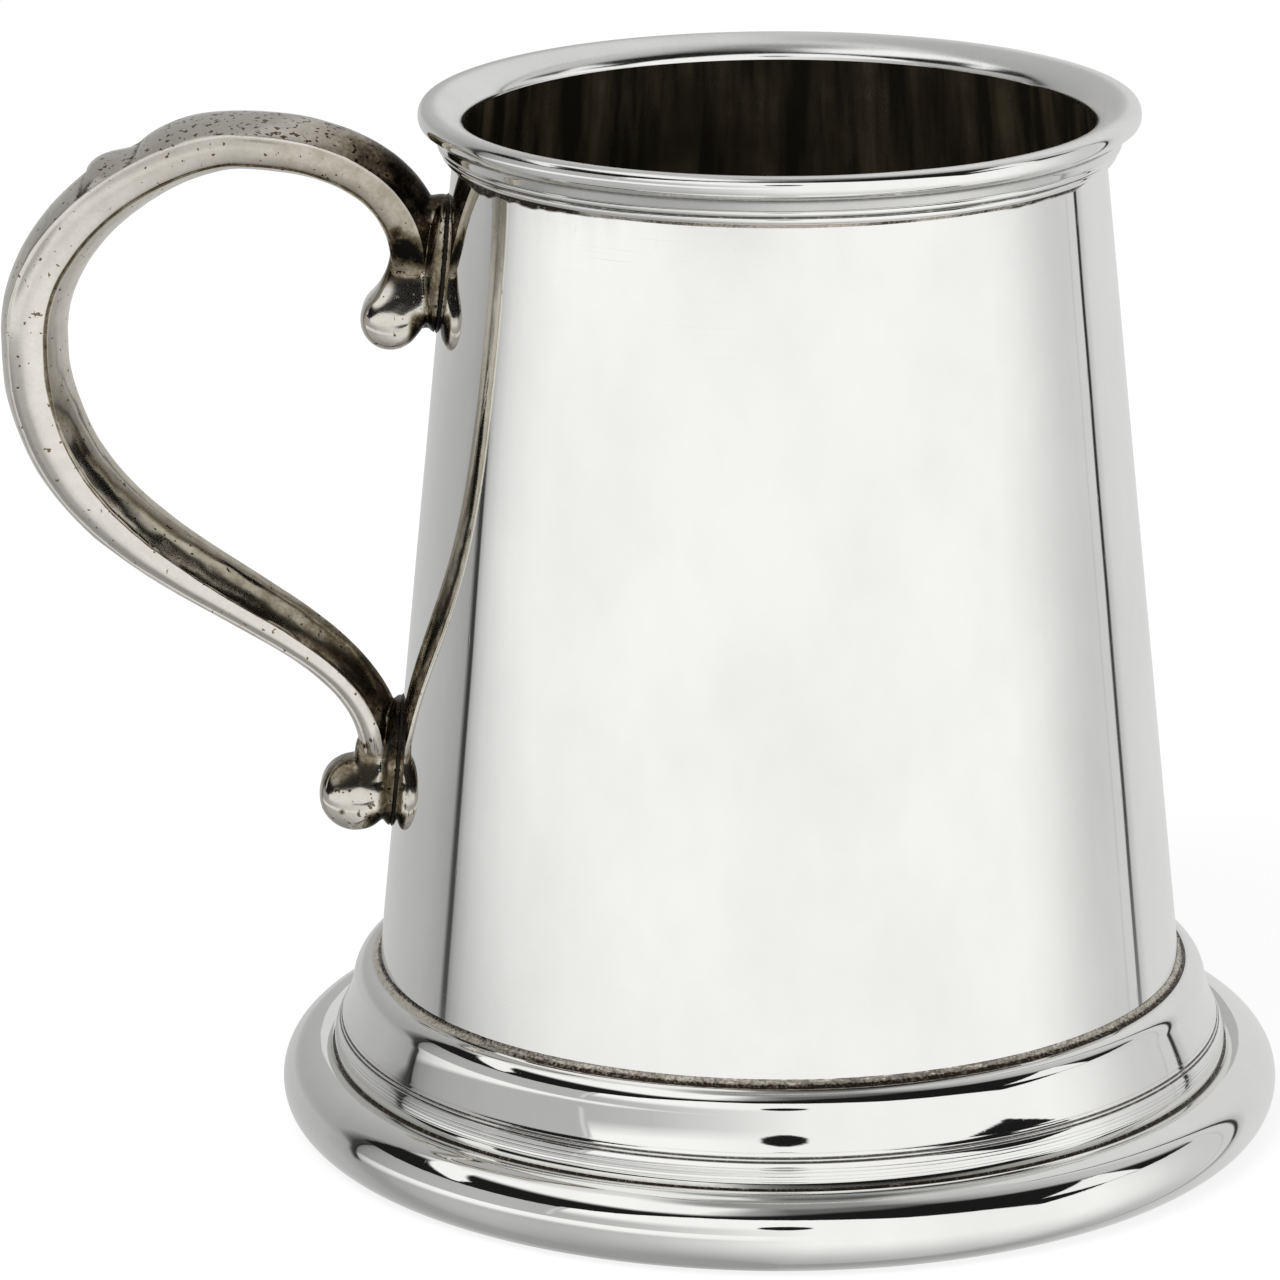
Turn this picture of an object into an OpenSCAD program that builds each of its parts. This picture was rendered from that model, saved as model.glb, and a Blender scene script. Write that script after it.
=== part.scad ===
// Pewter tankard: a tapered drum with a moulded lip, a two-part foot and a cast scroll handle.
// Millimetres, +Z up. The origin is on the drum's axis, on the plane that the foot rests on.
// The handle stands out toward -X.

/* [Overall] */
// Height of the lip's top above the table
height = 123; // [110:1:140]

/* [Drum] */
// Outer radius of the drum at the lower edge of the rim moulding
drum_top_r = 38; // [34:0.5:42]
// Outer radius of the drum at the top of the foot collar
drum_low_r = 47.9; // [44:0.2:52]
// Thickness of the drum's sheet
wall = 1; // [0.7:0.1:1.4]
// Thickness of the floor disc
floor_t = 1.4; // [1:0.1:2.5]

/* [Rim moulding] */
// Half of the lip roll's outer height
lip_half_h = 1.75; // [1.5:0.05:2]
// Half of the lip roll's outer width
lip_half_w = 2.2; // [1.8:0.1:2.6]
// Distance of the lip roll's middle beyond the drum
lip_out = 1.8; // [1.5:0.1:2.4]
// Height of the lip's metal above the drum's top edge
lip_cover = 2.6; // [2.2:0.1:3]
// Radius of the lower reed
reed_low_r = 0.55; // [0.3:0.05:0.8]
// Radius of the upper reed
reed_top_r = 0.6; // [0.3:0.05:0.8]
// Distance of the lower reed's middle beyond the drum
reed_out = 0.75; // [0.5:0.05:0.9]
// Step from the lower reed out to the upper one
reed_step = 0.45; // [0.3:0.05:0.6]
// Height of the plain band between the upper reed and the lip roll
band_h = 0.5; // [0.3:0.1:1]

/* [Foot] */
// Half of the foot roll's width
roll_half_w = 4.1; // [3.6:0.1:4.8]
// Height of the foot roll's top above the table
roll_top = 9; // [8.4:0.1:10]
// Thickness of the foot ring's sheet
foot_wall = 1.5; // [1:0.1:2]
// Depth of the flat that is turned on the underside of the foot roll
land_cut = 0.1; // [0.05:0.05:0.3]
// Step from the roll's top down to the flange that the collar stands on
flange_drop = 0.5; // [0.3:0.1:0.8]
// Width of the flange inside the foot roll
flange_w = 4; // [2:0.5:4.5]
// Distance of the collar's lower edge beyond the drum
collar_out = 5.6; // [4.6:0.1:6]
// Width of the flat between the collar's lower edge and the foot roll
crease_w = 0.3; // [0.2:0.1:1]
// Height of the collar
collar_h = 10.5; // [9.5:0.5:13]
// Height of the collar's plain lower edge
edge_h = 0.7; // [0.4:0.1:1]
// Radius of the rounded toe above the plain edge
toe_r = 5; // [3:0.5:7]
// Lean of the strip that carries the two turned lines, in degrees
strip_lean = 27; // [20:1:32]
// Depth of the two turned lines
line_depth = 0.18; // [0.1:0.02:0.3]
// Distance between the two turned lines
line_pitch = 0.45; // [0.3:0.05:0.6]
// Radius of the hollow flare above the lines
flare_r = 13.2; // [10:0.2:15]
// Lean of the flare at its upper end, in degrees
flare_lean = 7; // [2:1:12]
// Half width of the rounded shoulder above the flare
shoulder_w = 2.4; // [2:0.1:3]
// Thickness of the ledge that the drum and the floor stand on
ledge_t = 1.6; // [1.2:0.1:2.4]
// Width of the ledge inside the drum
ledge_w = 2; // [1:0.5:4]

/* [Solder] */
// Leg of the fillet between drum and collar
seam_leg = 1; // [0.5:0.1:1.1]
// Leg of the fillet under the rim moulding
rim_leg = 0.45; // [0.2:0.05:0.8]
// Height of the fillet between collar and foot ring
crease_leg = 0.45; // [0.2:0.05:0.7]
// Leg of the fillet around the floor
floor_leg = 1; // [0.5:0.1:2]
// Thickness of the solder beds under the handle's pads
bed_t = 0.3; // [0.2:0.05:0.6]
// Width of the solder that shows around each pad
bed_proud = 0.5; // [0.2:0.1:1]

/* [Handle] */
// Distance of the upper pad's middle below the rim moulding
pad_top_drop = 13; // [12:0.5:20]
// Distance of the lower pad's middle above the collar
pad_low_rise = 23.9; // [18:0.5:32]
// Length of the upper pad
pad_top_h = 16.8; // [15:0.2:19]
// Length of the lower pad
pad_low_h = 16; // [14:0.2:18]
// Width of the upper pad
pad_top_w = 9.6; // [8:0.2:12]
// Width of the lower pad
pad_low_w = 8; // [7:0.2:10]
// Thickness of both pads
pad_t = 1.7; // [1.2:0.1:2.4]
// Distance of the strap's middle from the drum at the back bend
reach = 47.3; // [40:0.1:54]
// Rise of the crest above the middle of the upper pad
crest_rise = 14.7; // [12:0.1:17]
// Place of the crest, as a share of the reach
crest_share = 0.53; // [0.45:0.01:0.6]
// Drop of the back bend below the middle of the upper pad
bend_drop = 8.2; // [5:0.2:11]
// Drop of the heel below the back bend
heel_drop = 10.7; // [8:0.1:14]
// Distance that the heel lies inward of the back bend
heel_in = 1.7; // [1:0.1:3]
// Slope of the strap at the heel, in degrees from level
heel_slope = 71; // [62:1:80]
// Distance of the strap's upper end from the drum, at the strap's middle
neck_out = 2.7; // [2.2:0.1:3.4]
// Distance of the strap's lower end from the drum, at the strap's middle
tail_out = 1.7; // [1.2:0.1:2.2]
// Height of the strap's lower end above the middle of the lower pad
tail_rise = 1; // [0:0.2:2]
// Thickness of the strap at the upper pad
neck_t = 6.8; // [6:0.1:8]
// Thickness of the strap at the crest
crest_t = 6.4; // [5:0.1:8]
// Thickness of the strap at the back bend
bend_t = 7.8; // [6:0.1:9]
// Thickness of the strap at the heel
heel_t = 8.2; // [6:0.1:9]
// Thickness of the strap at the lower pad
tail_t = 5.2; // [4.5:0.1:6.5]
// Width of the strap at the upper pad
neck_w = 7.4; // [6:0.2:9]
// Width of the leaf at the crest
crest_w = 13.2; // [10:0.2:15]
// Width of the strap at the back bend
bend_w = 11.4; // [9:0.2:13]
// Width of the strap at the heel
heel_w = 10.8; // [8:0.2:12]
// Width of the strap at the lower pad
tail_w = 7; // [6:0.2:8]
// Height of the strap's crowned back, as a share of its half width
crown_share = 0.18; // [0.1:0.01:0.24]
// Swell of the leaves on the strap's back
leaf_rise = 0.7; // [0.2:0.05:1]
// Depth that the first leaf's end lies below the strap's back
leaf_sink = 0.5; // [0:0.05:0.6]
// Radius of the upper scroll end
scroll_top_r = 3.5; // [3:0.1:4]
// Distance of the upper scroll end's middle from the drum
scroll_top_out = 5.7; // [5:0.1:6.5]
// Drop of the upper scroll end's middle below the middle of its pad
scroll_top_drop = 6.2; // [5:0.1:7.5]
// Radius of the lower scroll end
scroll_low_r = 4.35; // [4:0.05:5]
// Distance of the lower scroll end's middle from the drum
scroll_low_out = 4.7; // [4.2:0.1:5.6]
// Drop of the lower scroll end's middle below the middle of its pad
scroll_low_drop = 3.8; // [3:0.1:4.6]
// Width of both scroll ends
scroll_w = 9.6; // [8:0.2:11]
// Half height of the web that joins the upper scroll end to the drum
web_top_r = 2.5; // [1.5:0.1:3]
// Half height of the web that joins the lower scroll end to the drum
web_low_r = 3.8; // [2.5:0.1:4]

/* [Hidden] */
$fn = 96;

pewter = [0.80, 0.80, 0.78];
cast_pewter = [0.68, 0.66, 0.61];
dull_pewter = [0.36, 0.33, 0.28];
solder_grey = [0.42, 0.37, 0.30];

// Levels from the table up
roll_half_h = (roll_top + land_cut) / 2;
roll_z = roll_top - roll_half_h;
flange_z = roll_top - flange_drop;
ledge_z = flange_z + ledge_t;
collar_z = flange_z + collar_h;
rim_z = height - 2 * (lip_half_h + reed_low_r + reed_top_r) - band_h;
drum_top_z = height - lip_cover;
pad_top_z = rim_z - pad_top_drop;
pad_low_z = collar_z + pad_low_rise;

// Outer radius of the drum at height z
taper = (drum_low_r - drum_top_r) / (rim_z - collar_z);
function drum_r(z) = drum_low_r - (z - collar_z) * taper;

// Half width of the foot roll at height z, and its height at radius r
function roll_reach(z) = roll_half_w * sqrt(max(0, 1 - pow((z - roll_z) / roll_half_h, 2)));
function roll_height(r) = roll_z + roll_half_h * sqrt(max(0, 1 - pow((r - roll_r) / roll_half_w, 2)));

// Radii of the foot from the drum outward: lower edge of the collar, inner edge of the roll, its middle
collar_r = drum_low_r + collar_out;
edge_r = collar_r + crease_w;
roll_r = edge_r + roll_reach(flange_z);

// Points on an ellipse from angle a to angle b
function arc_points(middle, half_w, half_h, a, b, steps) = [
    for (i = [0 : steps])
        let (t = a + (b - a) * i / steps)
            [middle[0] + half_w * cos(t), middle[1] + half_h * sin(t)]
];

module turned(points) {
    rotate_extrude() polygon(points);
}

// A cone that follows the drum's outside, moved out by grow
module drum_cone(grow) {
    turned([
        [0, ledge_z], [drum_r(ledge_z) + grow, ledge_z],
        [drum_r(drum_top_z) + grow, drum_top_z], [0, drum_top_z]
    ]);
}

module body() {
    color(pewter)
    turned([
        [drum_r(ledge_z) - wall, ledge_z], [drum_r(ledge_z), ledge_z],
        [drum_r(drum_top_z), drum_top_z], [drum_r(drum_top_z) - wall, drum_top_z]
    ]);
}

// The lip roll's crown falls to the drum's inner face in a quarter curve, so the mouth is flush inside
lip_r = drum_top_r + lip_out;
lip_z = height - lip_half_h;
mouth_r = drum_r(drum_top_z) - wall;
reed_low = [drum_top_r + reed_out, rim_z + reed_low_r];
reed_top = [reed_low[0] + reed_step, reed_low[1] + reed_low_r + reed_top_r];
band_r = reed_top[0] + reed_top_r + reed_step / 8;
lip_under = -acos(max(-0.9, min(0.9, (band_r + reed_step / 4 - lip_r) / lip_half_w)));

module lip() {
    color(pewter)
    turned(concat(
        [[drum_r(rim_z), rim_z]],
        arc_points(reed_low, reed_low_r, reed_low_r, -90, 60, 10),
        arc_points(reed_top, reed_top_r, reed_top_r, -60, 70, 10),
        [[band_r, reed_top[1] + reed_top_r]],
        arc_points([lip_r, lip_z], lip_half_w, lip_half_h, lip_under, 90, 24),
        arc_points([lip_r, drum_top_z], lip_r - mouth_r, lip_cover, 95, 180, 16),
        [[drum_r(drum_top_z), drum_top_z]]
    ));
}

module rim_solder() {
    color(solder_grey)
    turned([[drum_r(rim_z - rim_leg), rim_z - rim_leg], [reed_low[0], rim_z], [drum_r(rim_z), rim_z]]);
}

// The collar from its lower edge up: toe, strip with two turned lines, hollow flare, shoulder, seat
toe_z = flange_z + edge_h;
line_count = 2;
strip_rise = [-sin(strip_lean), cos(strip_lean)];
strip_out = [cos(strip_lean), sin(strip_lean)];
strip_low = [collar_r - toe_r * (1 - cos(strip_lean)), toe_z + toe_r * sin(strip_lean)];
strip_top = strip_low + line_count * line_pitch * strip_rise;
flare_middle = strip_top + flare_r * strip_out;
flare_top = flare_middle - flare_r * [cos(flare_lean), sin(flare_lean)];
// The shoulder's curve stops at this angle, and a flat seat for the solder follows
shoulder_end = 82;
shoulder_h = (collar_z - flare_top[1]) / (sin(shoulder_end) - sin(flare_lean));
shoulder_middle = flare_top - [shoulder_w * cos(flare_lean), shoulder_h * sin(flare_lean)];
seat_r = shoulder_middle[0] + shoulder_w * cos(shoulder_end);

// All points but the first, which the curve before has placed
function after_first(points) = [for (i = [1 : len(points) - 1]) points[i]];

module collar() {
    color(pewter)
    turned(concat(
        [[drum_r(ledge_z) - wall - ledge_w, ledge_z], [drum_r(ledge_z) - wall - ledge_w, flange_z]],
        [[collar_r, flange_z]],
        arc_points([collar_r - toe_r, toe_z], toe_r, toe_r, 0, strip_lean, 8),
        [
            for (i = [0 : line_count - 1])
                let (start = strip_low + i * line_pitch * strip_rise)
                    each [
                        start + line_pitch / 2 * strip_rise - line_depth * strip_out,
                        start + line_pitch * strip_rise
                    ]
        ],
        after_first(arc_points(flare_middle, flare_r, flare_r, 180 + strip_lean, 180 + flare_lean, 10)),
        after_first(arc_points(shoulder_middle, shoulder_w, shoulder_h, flare_lean, shoulder_end, 12)),
        [[drum_low_r, collar_z], [drum_r(ledge_z), ledge_z]]
    ));
}

module seam_solder() {
    leg = min(seam_leg, seat_r - drum_low_r);
    color(solder_grey)
    turned([
        [drum_low_r, collar_z], [drum_low_r + leg, collar_z],
        [drum_low_r + leg / 3, collar_z + leg / 3],
        [drum_r(collar_z + leg), collar_z + leg]
    ]);
}

// The foot ring: flange, roll, flat land and turned-in hem, all in one sheet
flange_r = edge_r - crease_w - flange_w;
land_angle = asin(roll_z / roll_half_h);
hem_r = roll_r - roll_half_w / 2;
// The inside of the roll starts at this angle, past the hem
hem_angle = -80;

module foot_ring() {
    color(pewter)
    turned(concat(
        [[flange_r, flange_z - foot_wall], [flange_r, flange_z]],
        arc_points([roll_r, roll_z], roll_half_w, roll_half_h,
            90 + acos((flange_z - roll_z) / roll_half_h), -land_angle, 36),
        [[hem_r, 0], [hem_r, foot_wall]],
        arc_points([roll_r, roll_z], roll_half_w - foot_wall, roll_half_h - foot_wall, hem_angle, 90, 24),
        [[edge_r, flange_z - foot_wall]]
    ));
}

module crease_solder() {
    color(solder_grey)
    turned([
        [collar_r, flange_z], [edge_r, flange_z],
        [edge_r + crease_leg / 2, roll_height(edge_r + crease_leg / 2)], [collar_r, flange_z + crease_leg]
    ]);
}

module floor() {
    color(dull_pewter)
    turned([
        [0, ledge_z], [drum_r(ledge_z) - wall, ledge_z],
        [drum_r(ledge_z + floor_t) - wall, ledge_z + floor_t], [0, ledge_z + floor_t]
    ]);
}

floor_z = ledge_z + floor_t;

module floor_solder() {
    color(solder_grey)
    turned([
        [drum_r(floor_z) - wall - floor_leg, floor_z], [drum_r(floor_z) - wall, floor_z],
        [drum_r(floor_z + floor_leg) - wall, floor_z + floor_leg]
    ]);
}

// A pad's outline with round ends, standing on the drum's side and reaching out toward -X
module pad_block(z, h, w) {
    translate([0, 0, z])
    rotate([90, 0, -90])
    linear_extrude(drum_low_r + reach) {
        square([w, h - w], center = true);
        for (s = [-1, 1])
            translate([0, s * (h - w) / 2]) circle(d = w);
    }
}

module solder_bed(z, h, w) {
    color(solder_grey)
    intersection() {
        pad_block(z, h + 2 * bed_proud, w + 2 * bed_proud);
        difference() {
            drum_cone(bed_t);
            drum_cone(0);
        }
    }
}

module pad_solder_top() {
    solder_bed(pad_top_z, pad_top_h, pad_top_w);
}

module pad_solder_low() {
    solder_bed(pad_low_z, pad_low_h, pad_low_w);
}

// Course of the strap in the XZ plane: key points with headings, joined by cubic pieces
crest_z = pad_top_z + crest_rise;
bend_z = pad_top_z - bend_drop;
heel_z = bend_z - heel_drop;
bend_x = -drum_r(bend_z) - reach;
tail_z = pad_low_z + tail_rise;
strap_keys = [
    [[-drum_r(pad_top_z) - neck_out, pad_top_z], 90],
    [[-drum_r(crest_z) - crest_share * reach, crest_z], 180],
    [[bend_x, bend_z], 270],
    [[bend_x + heel_in, heel_z], 360 - heel_slope],
    [[-drum_r(tail_z) - tail_out, tail_z], 270]
];
strap_t = [neck_t, crest_t, bend_t, heel_t, tail_t];
strap_w = [neck_w, crest_w, bend_w, heel_w, tail_w];
// Fullness of each piece where it leaves its first key point and where it reaches its second
fullness = [[0.41, 0.45], [0.24, 0.41], [0.5, 0.37], [0.39, 0.32]];
piece_steps = [14, 44, 8, 30];
// Two overlapping leaves lie on the piece from crest to back bend, and end at these shares of it
leaf_piece = 1;
leaf_ends = [0.345, 0.51];
// Each leaf swells to its full rise at this share of its length, then rounds off
leaf_peak_share = 0.68;
// At the strap's edges the leaves run on this much further than at its middle
leaf_sweep_share = 0.04;

function heading(a) = [cos(a), sin(a)];
function blend(u) = u * u * (3 - 2 * u);
function piece_pull(i) = norm(strap_keys[i + 1][0] - strap_keys[i][0]);
function piece_handles(i) = [
    strap_keys[i][0],
    strap_keys[i][0] + heading(strap_keys[i][1]) * piece_pull(i) * fullness[i][0],
    strap_keys[i + 1][0] - heading(strap_keys[i + 1][1]) * piece_pull(i) * fullness[i][1],
    strap_keys[i + 1][0]
];
function cubic(q, u) =
    pow(1 - u, 3) * q[0] + 3 * pow(1 - u, 2) * u * q[1] + 3 * (1 - u) * u * u * q[2] + pow(u, 3) * q[3];
function cubic_slope(q, u) =
    pow(1 - u, 2) * (q[1] - q[0]) + 2 * (1 - u) * u * (q[2] - q[1]) + u * u * (q[3] - q[2]);

// Rise of the leaves at share u of the piece from crest to back bend, and at y across the half width
function leaf_shape(s) =
    s < leaf_peak_share ?
        blend(s / leaf_peak_share) :
        sqrt(1 - pow((s - leaf_peak_share) / (1 - leaf_peak_share), 2));
function leaf_lift(u, y) =
    let (v = u - leaf_sweep_share * y * y)
    let (s = v / leaf_ends[0])
    let (q = (v - leaf_ends[0]) / (leaf_ends[1] - leaf_ends[0]))
        v < 0 || q > 1 ? 0 :
        s < 1 ? leaf_rise * leaf_shape(s) - leaf_sink * blend(s) :
        leaf_rise * leaf_shape(q) - leaf_sink * blend(1 - q);

// Flank below the crowned back, as shares of half width and thickness: side face, groove, inner lobe
flank = [[0.97, 0.7], [0.87, 0.74], [0.93, 0.78], [0.72, 0.93], [0.42, 0.985]];
function strap_section(i, u) =
    let (w = (strap_w[i] + (strap_w[i + 1] - strap_w[i]) * blend(u)) / 2)
    let (t = strap_t[i] + (strap_t[i + 1] - strap_t[i]) * blend(u))
        concat(
            [
                for (y = [-1 : 0.25 : 1])
                    [y * w, t / 2 - crown_share * w * y * y + (i == leaf_piece ? leaf_lift(u, y) : 0)]
            ],
            [for (p = flank) [p[0] * w, t / 2 - p[1] * t]],
            [for (k = [len(flank) - 1 : -1 : 0]) [-flank[k][0] * w, t / 2 - flank[k][1] * t]]
        );
function strap_ring(i, u) =
    let (q = piece_handles(i))
    let (p = cubic(q, u))
    let (s = cubic_slope(q, u) / norm(cubic_slope(q, u)))
        [for (c = strap_section(i, u)) [p[0] + s[1] * c[1], c[0], p[1] - s[0] * c[1]]];

module strap() {
    rings = [
        for (i = [0 : len(piece_steps) - 1])
            for (k = [0 : piece_steps[i] - (i < len(piece_steps) - 1 ? 1 : 0)])
                strap_ring(i, k / piece_steps[i])
    ];
    n = len(rings[0]);
    last = len(rings) - 1;
    polyhedron(
        points = [for (ring = rings) for (p = ring) p],
        faces = concat(
            [[for (k = [0 : n - 1]) k]],
            [
                for (j = [0 : last - 1])
                    for (k = [0 : n - 1])
                        let (a = j * n + k)
                        let (b = j * n + (k + 1) % n)
                            each [[a, a + n, b], [b, a + n, b + n]]
            ],
            [[for (k = [n - 1 : -1 : 0]) last * n + k]]
        )
    );
}

// A round lump of the casting at a distance out from the drum and at height z
module lump(out, z, r, w) {
    translate([-drum_r(z) - out, 0, z]) scale([1, w / (2 * r), 1]) sphere(r, $fn = 32);
}

// A scroll end: lumps that swell from the strap's end to the free end, and a web back to the drum
// Each lump is [distance from the drum, height, radius]
scroll_steps = 4;
module scroll_end(root, tip, web_r) {
    for (i = [1 : scroll_steps])
        hull()
            for (s = [i - 1, i] / scroll_steps) {
                q = root + (tip - root) * s;
                lump(q[0], q[1], root[2] + (tip[2] - root[2]) * blend(s), scroll_w);
            }
    hull() {
        lump(tip[0] / 2, tip[1], (tip[2] + web_r) / 2, scroll_w);
        lump(0, tip[1], web_r, scroll_w);
    }
}

// A pad: a rounded plate half sunk in the drum's side
module pad(z, h, w) {
    hull()
        for (s = [-1, 1] * (h - w) / 2)
            translate([-drum_r(z + s) - bed_t, 0, z + s])
                scale([2 * pad_t / w, 1, 1])
                    sphere(d = w, $fn = 32);
}

// Lumps at the strap's ends reach as far from the drum as the strap does there
neck_r_share = 0.47;
neck_r = neck_r_share * neck_t;
tail_r = tail_t / 2;
module handle() {
    color(cast_pewter)
    difference() {
        union() {
            strap();
            pad(pad_top_z, pad_top_h, pad_top_w);
            pad(pad_low_z, pad_low_h, pad_low_w);
            scroll_end(
                [neck_out + neck_t / 2 - neck_r, pad_top_z, neck_r],
                [scroll_top_out, pad_top_z - scroll_top_drop, scroll_top_r],
                web_top_r
            );
            scroll_end(
                [tail_out + tail_t / 2 - tail_r, pad_low_z, tail_r],
                [scroll_low_out, pad_low_z - scroll_low_drop, scroll_low_r],
                web_low_r
            );
        }
        drum_cone(bed_t);
    }
}

body();
lip();
collar();
foot_ring();
floor();
handle();
rim_solder();
seam_solder();
crease_solder();
floor_solder();
pad_solder_top();
pad_solder_low();
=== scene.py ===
# A pewter tankard: tapered drum, moulded lip, two-part foot and cast scroll handle, all soldered together.
# Metres, +Z up, the drum's axis on Z, the handle toward -X, the camera in front toward -Y.
import math

import bmesh
import bpy
import numpy as np
from mathutils import Matrix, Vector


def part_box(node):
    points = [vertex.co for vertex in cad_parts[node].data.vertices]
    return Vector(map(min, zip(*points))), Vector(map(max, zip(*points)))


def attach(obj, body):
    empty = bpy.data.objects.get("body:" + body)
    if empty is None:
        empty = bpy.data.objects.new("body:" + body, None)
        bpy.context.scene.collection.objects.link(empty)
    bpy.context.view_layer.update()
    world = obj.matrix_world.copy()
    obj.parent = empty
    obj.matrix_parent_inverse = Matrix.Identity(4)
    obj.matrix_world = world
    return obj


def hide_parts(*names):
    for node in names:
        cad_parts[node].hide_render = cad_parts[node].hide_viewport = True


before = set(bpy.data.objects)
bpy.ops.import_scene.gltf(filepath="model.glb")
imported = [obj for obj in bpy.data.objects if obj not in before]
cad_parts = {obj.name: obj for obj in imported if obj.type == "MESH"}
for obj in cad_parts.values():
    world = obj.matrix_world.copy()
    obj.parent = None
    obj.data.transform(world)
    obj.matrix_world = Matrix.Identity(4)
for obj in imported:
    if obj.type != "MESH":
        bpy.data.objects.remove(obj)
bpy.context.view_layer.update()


# The drum: one sheet of pewter spun to a cone and polished outside on the lathe. Inside it has never
# been polished again, so it has gone brown and black in streaks where drink has run down.
# It stands in the collar's seat, and its top edge is covered by the rim moulding.
MM = 0.001
drum_lo, drum_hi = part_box("body")
rim_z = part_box("lip")[0][2]
ledge_z, drum_top_z = drum_lo[2], drum_hi[2]
drum_top_r = 38.0 * MM
drum_wall = 1.0 * MM
taper = (drum_hi[0] - drum_top_r) / (rim_z - ledge_z)
drum_segments = 512
dent_depth = 0.012 * MM
dent_fade = 12.0 * MM
rim_rows_from = rim_z - 2.5 * MM
residue_edge = 0.14 * MM


def drum_r(z):
    """Outer radius of the drum at height z: a straight cone through the ledge and the rim."""
    return drum_hi[0] - (z - ledge_z) * taper


def soft_noise(rows, columns, size_rows, size_columns, seed):
    """A smooth random field that repeats at its edges: white noise blurred by a Gaussian of the given sizes
    in cells, worked out in the frequency domain, and scaled to a standard deviation of one."""
    field = np.random.default_rng(seed).normal(size=(rows, columns))
    row_waves = np.fft.fftfreq(rows)[:, None] * size_rows
    column_waves = np.fft.fftfreq(columns)[None, :] * size_columns
    blur = np.exp(-2.0 * math.pi ** 2 * (row_waves ** 2 + column_waves ** 2))
    field = np.fft.ifft2(np.fft.fft2(field) * blur).real
    return (field - field.mean()) / field.std()


def round_noise(segments, size, seed):
    """A smooth random value for each segment of a turned piece, as one column."""
    return soft_noise(segments, 1, size, 0.1, seed)


def skin(name, points, wrap_rows=True, wrap_columns=True, marks=None):
    """Four-sided faces over a grid of points [rows, columns, 3], joined at the seams that wrap. Points that
    coincide, as at a pole, are merged, and the closed shell's faces are turned outward. marks are numbers
    of about 0 to 1 for each point, kept as named attributes for the materials."""
    rows, columns = points.shape[:2]
    index = np.arange(rows * columns).reshape(rows, columns)
    index = np.vstack([index, index[:1]]) if wrap_rows else index
    index = np.hstack([index, index[:, :1]]) if wrap_columns else index
    quads = np.stack([index[:-1, :-1], index[1:, :-1], index[1:, 1:], index[:-1, 1:]], axis=-1).reshape(-1, 4)
    mesh = bpy.data.meshes.new(name)
    mesh.vertices.add(rows * columns)
    mesh.vertices.foreach_set("co", points.astype(np.float32).ravel())
    mesh.loops.add(quads.size)
    mesh.loops.foreach_set("vertex_index", quads.astype(np.int32).ravel())
    mesh.polygons.add(len(quads))
    mesh.polygons.foreach_set("loop_start", np.arange(0, quads.size, 4, dtype=np.int32))
    mesh.update(calc_edges=True)
    for mark, values in (marks or {}).items():
        layer = mesh.attributes.new(mark, "FLOAT", "POINT")
        layer.data.foreach_set("value", np.broadcast_to(values, (rows, columns)).astype(np.float32).ravel())
    shell = bmesh.new()
    shell.from_mesh(mesh)
    bmesh.ops.remove_doubles(shell, verts=shell.verts, dist=1e-7)
    bmesh.ops.recalc_face_normals(shell, faces=shell.faces)
    shell.to_mesh(mesh)
    shell.free()
    return mesh


def settle(name, mesh, materials, node, crease=50):
    """Puts a finished mesh into the scene as the piece that stands for a CAD node, smooth between edges
    that are sharper than the crease angle in degrees."""
    mesh.shade_smooth()
    mesh.set_sharp_from_angle(angle=math.radians(crease))
    for material in materials:
        mesh.materials.append(material)
    piece = bpy.data.objects.new(name, mesh)
    bpy.context.collection.objects.link(piece)
    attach(piece, "root")
    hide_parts(node)


def turned(profile, segments, shift=None):
    """A closed profile of radii and heights [n, 2] carried once round the Z axis: (r, z) at the turn a goes
    to (r cos a, r sin a, z). shift [segments, n] first moves each point along the profile's own normal."""
    ahead = np.roll(profile, -1, axis=0) - np.roll(profile, 1, axis=0)
    normal = np.stack([ahead[:, 1], -ahead[:, 0]], axis=1)
    normal /= np.linalg.norm(normal, axis=1, keepdims=True) + 1e-12
    turn = np.linspace(0.0, 2.0 * math.pi, segments, endpoint=False)[:, None]
    offset = np.zeros((segments, len(profile))) if shift is None else shift
    r = profile[None, :, 0] + normal[None, :, 0] * offset
    z = profile[None, :, 1] + normal[None, :, 1] * offset
    return np.stack([r * np.cos(turn), r * np.sin(turn), z], axis=-1)


def turns_from_front(segments):
    """How far each segment of a turned piece lies from the front, in degrees, with the right above zero."""
    return (np.linspace(0.0, 360.0, segments, endpoint=False) + 270.0) % 360.0 - 180.0


def shade(tree, kind, inputs=None, **settings):
    """One shader node: its settings are set, and each input is linked to a socket or filled with a value."""
    node = tree.nodes.new(kind)
    for key, value in settings.items():
        setattr(node, key, value)
    for key, value in (inputs or {}).items():
        if isinstance(value, bpy.types.NodeSocket):
            tree.links.new(value, node.inputs[key])
        else:
            node.inputs[key].default_value = value
    return node


def spread(tree, value, low, high, to_low=0.0, to_high=1.0):
    """A value's range from low to high, clamped and spread over another range."""
    return shade(tree, "ShaderNodeMapRange", {0: value, 1: low, 2: high, 3: to_low, 4: to_high}).outputs[0]


def reckon(tree, operation, a, b=0.0):
    """One sum on two values."""
    return shade(tree, "ShaderNodeMath", {0: a, 1: b}, operation=operation).outputs[0]


def tint(tree, share, first, second):
    """A colour that goes from the first to the second as the share goes from 0 to 1."""
    return shade(tree, "ShaderNodeMix", {0: share, 6: first, 7: second}, data_type="RGBA").outputs[2]


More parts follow.
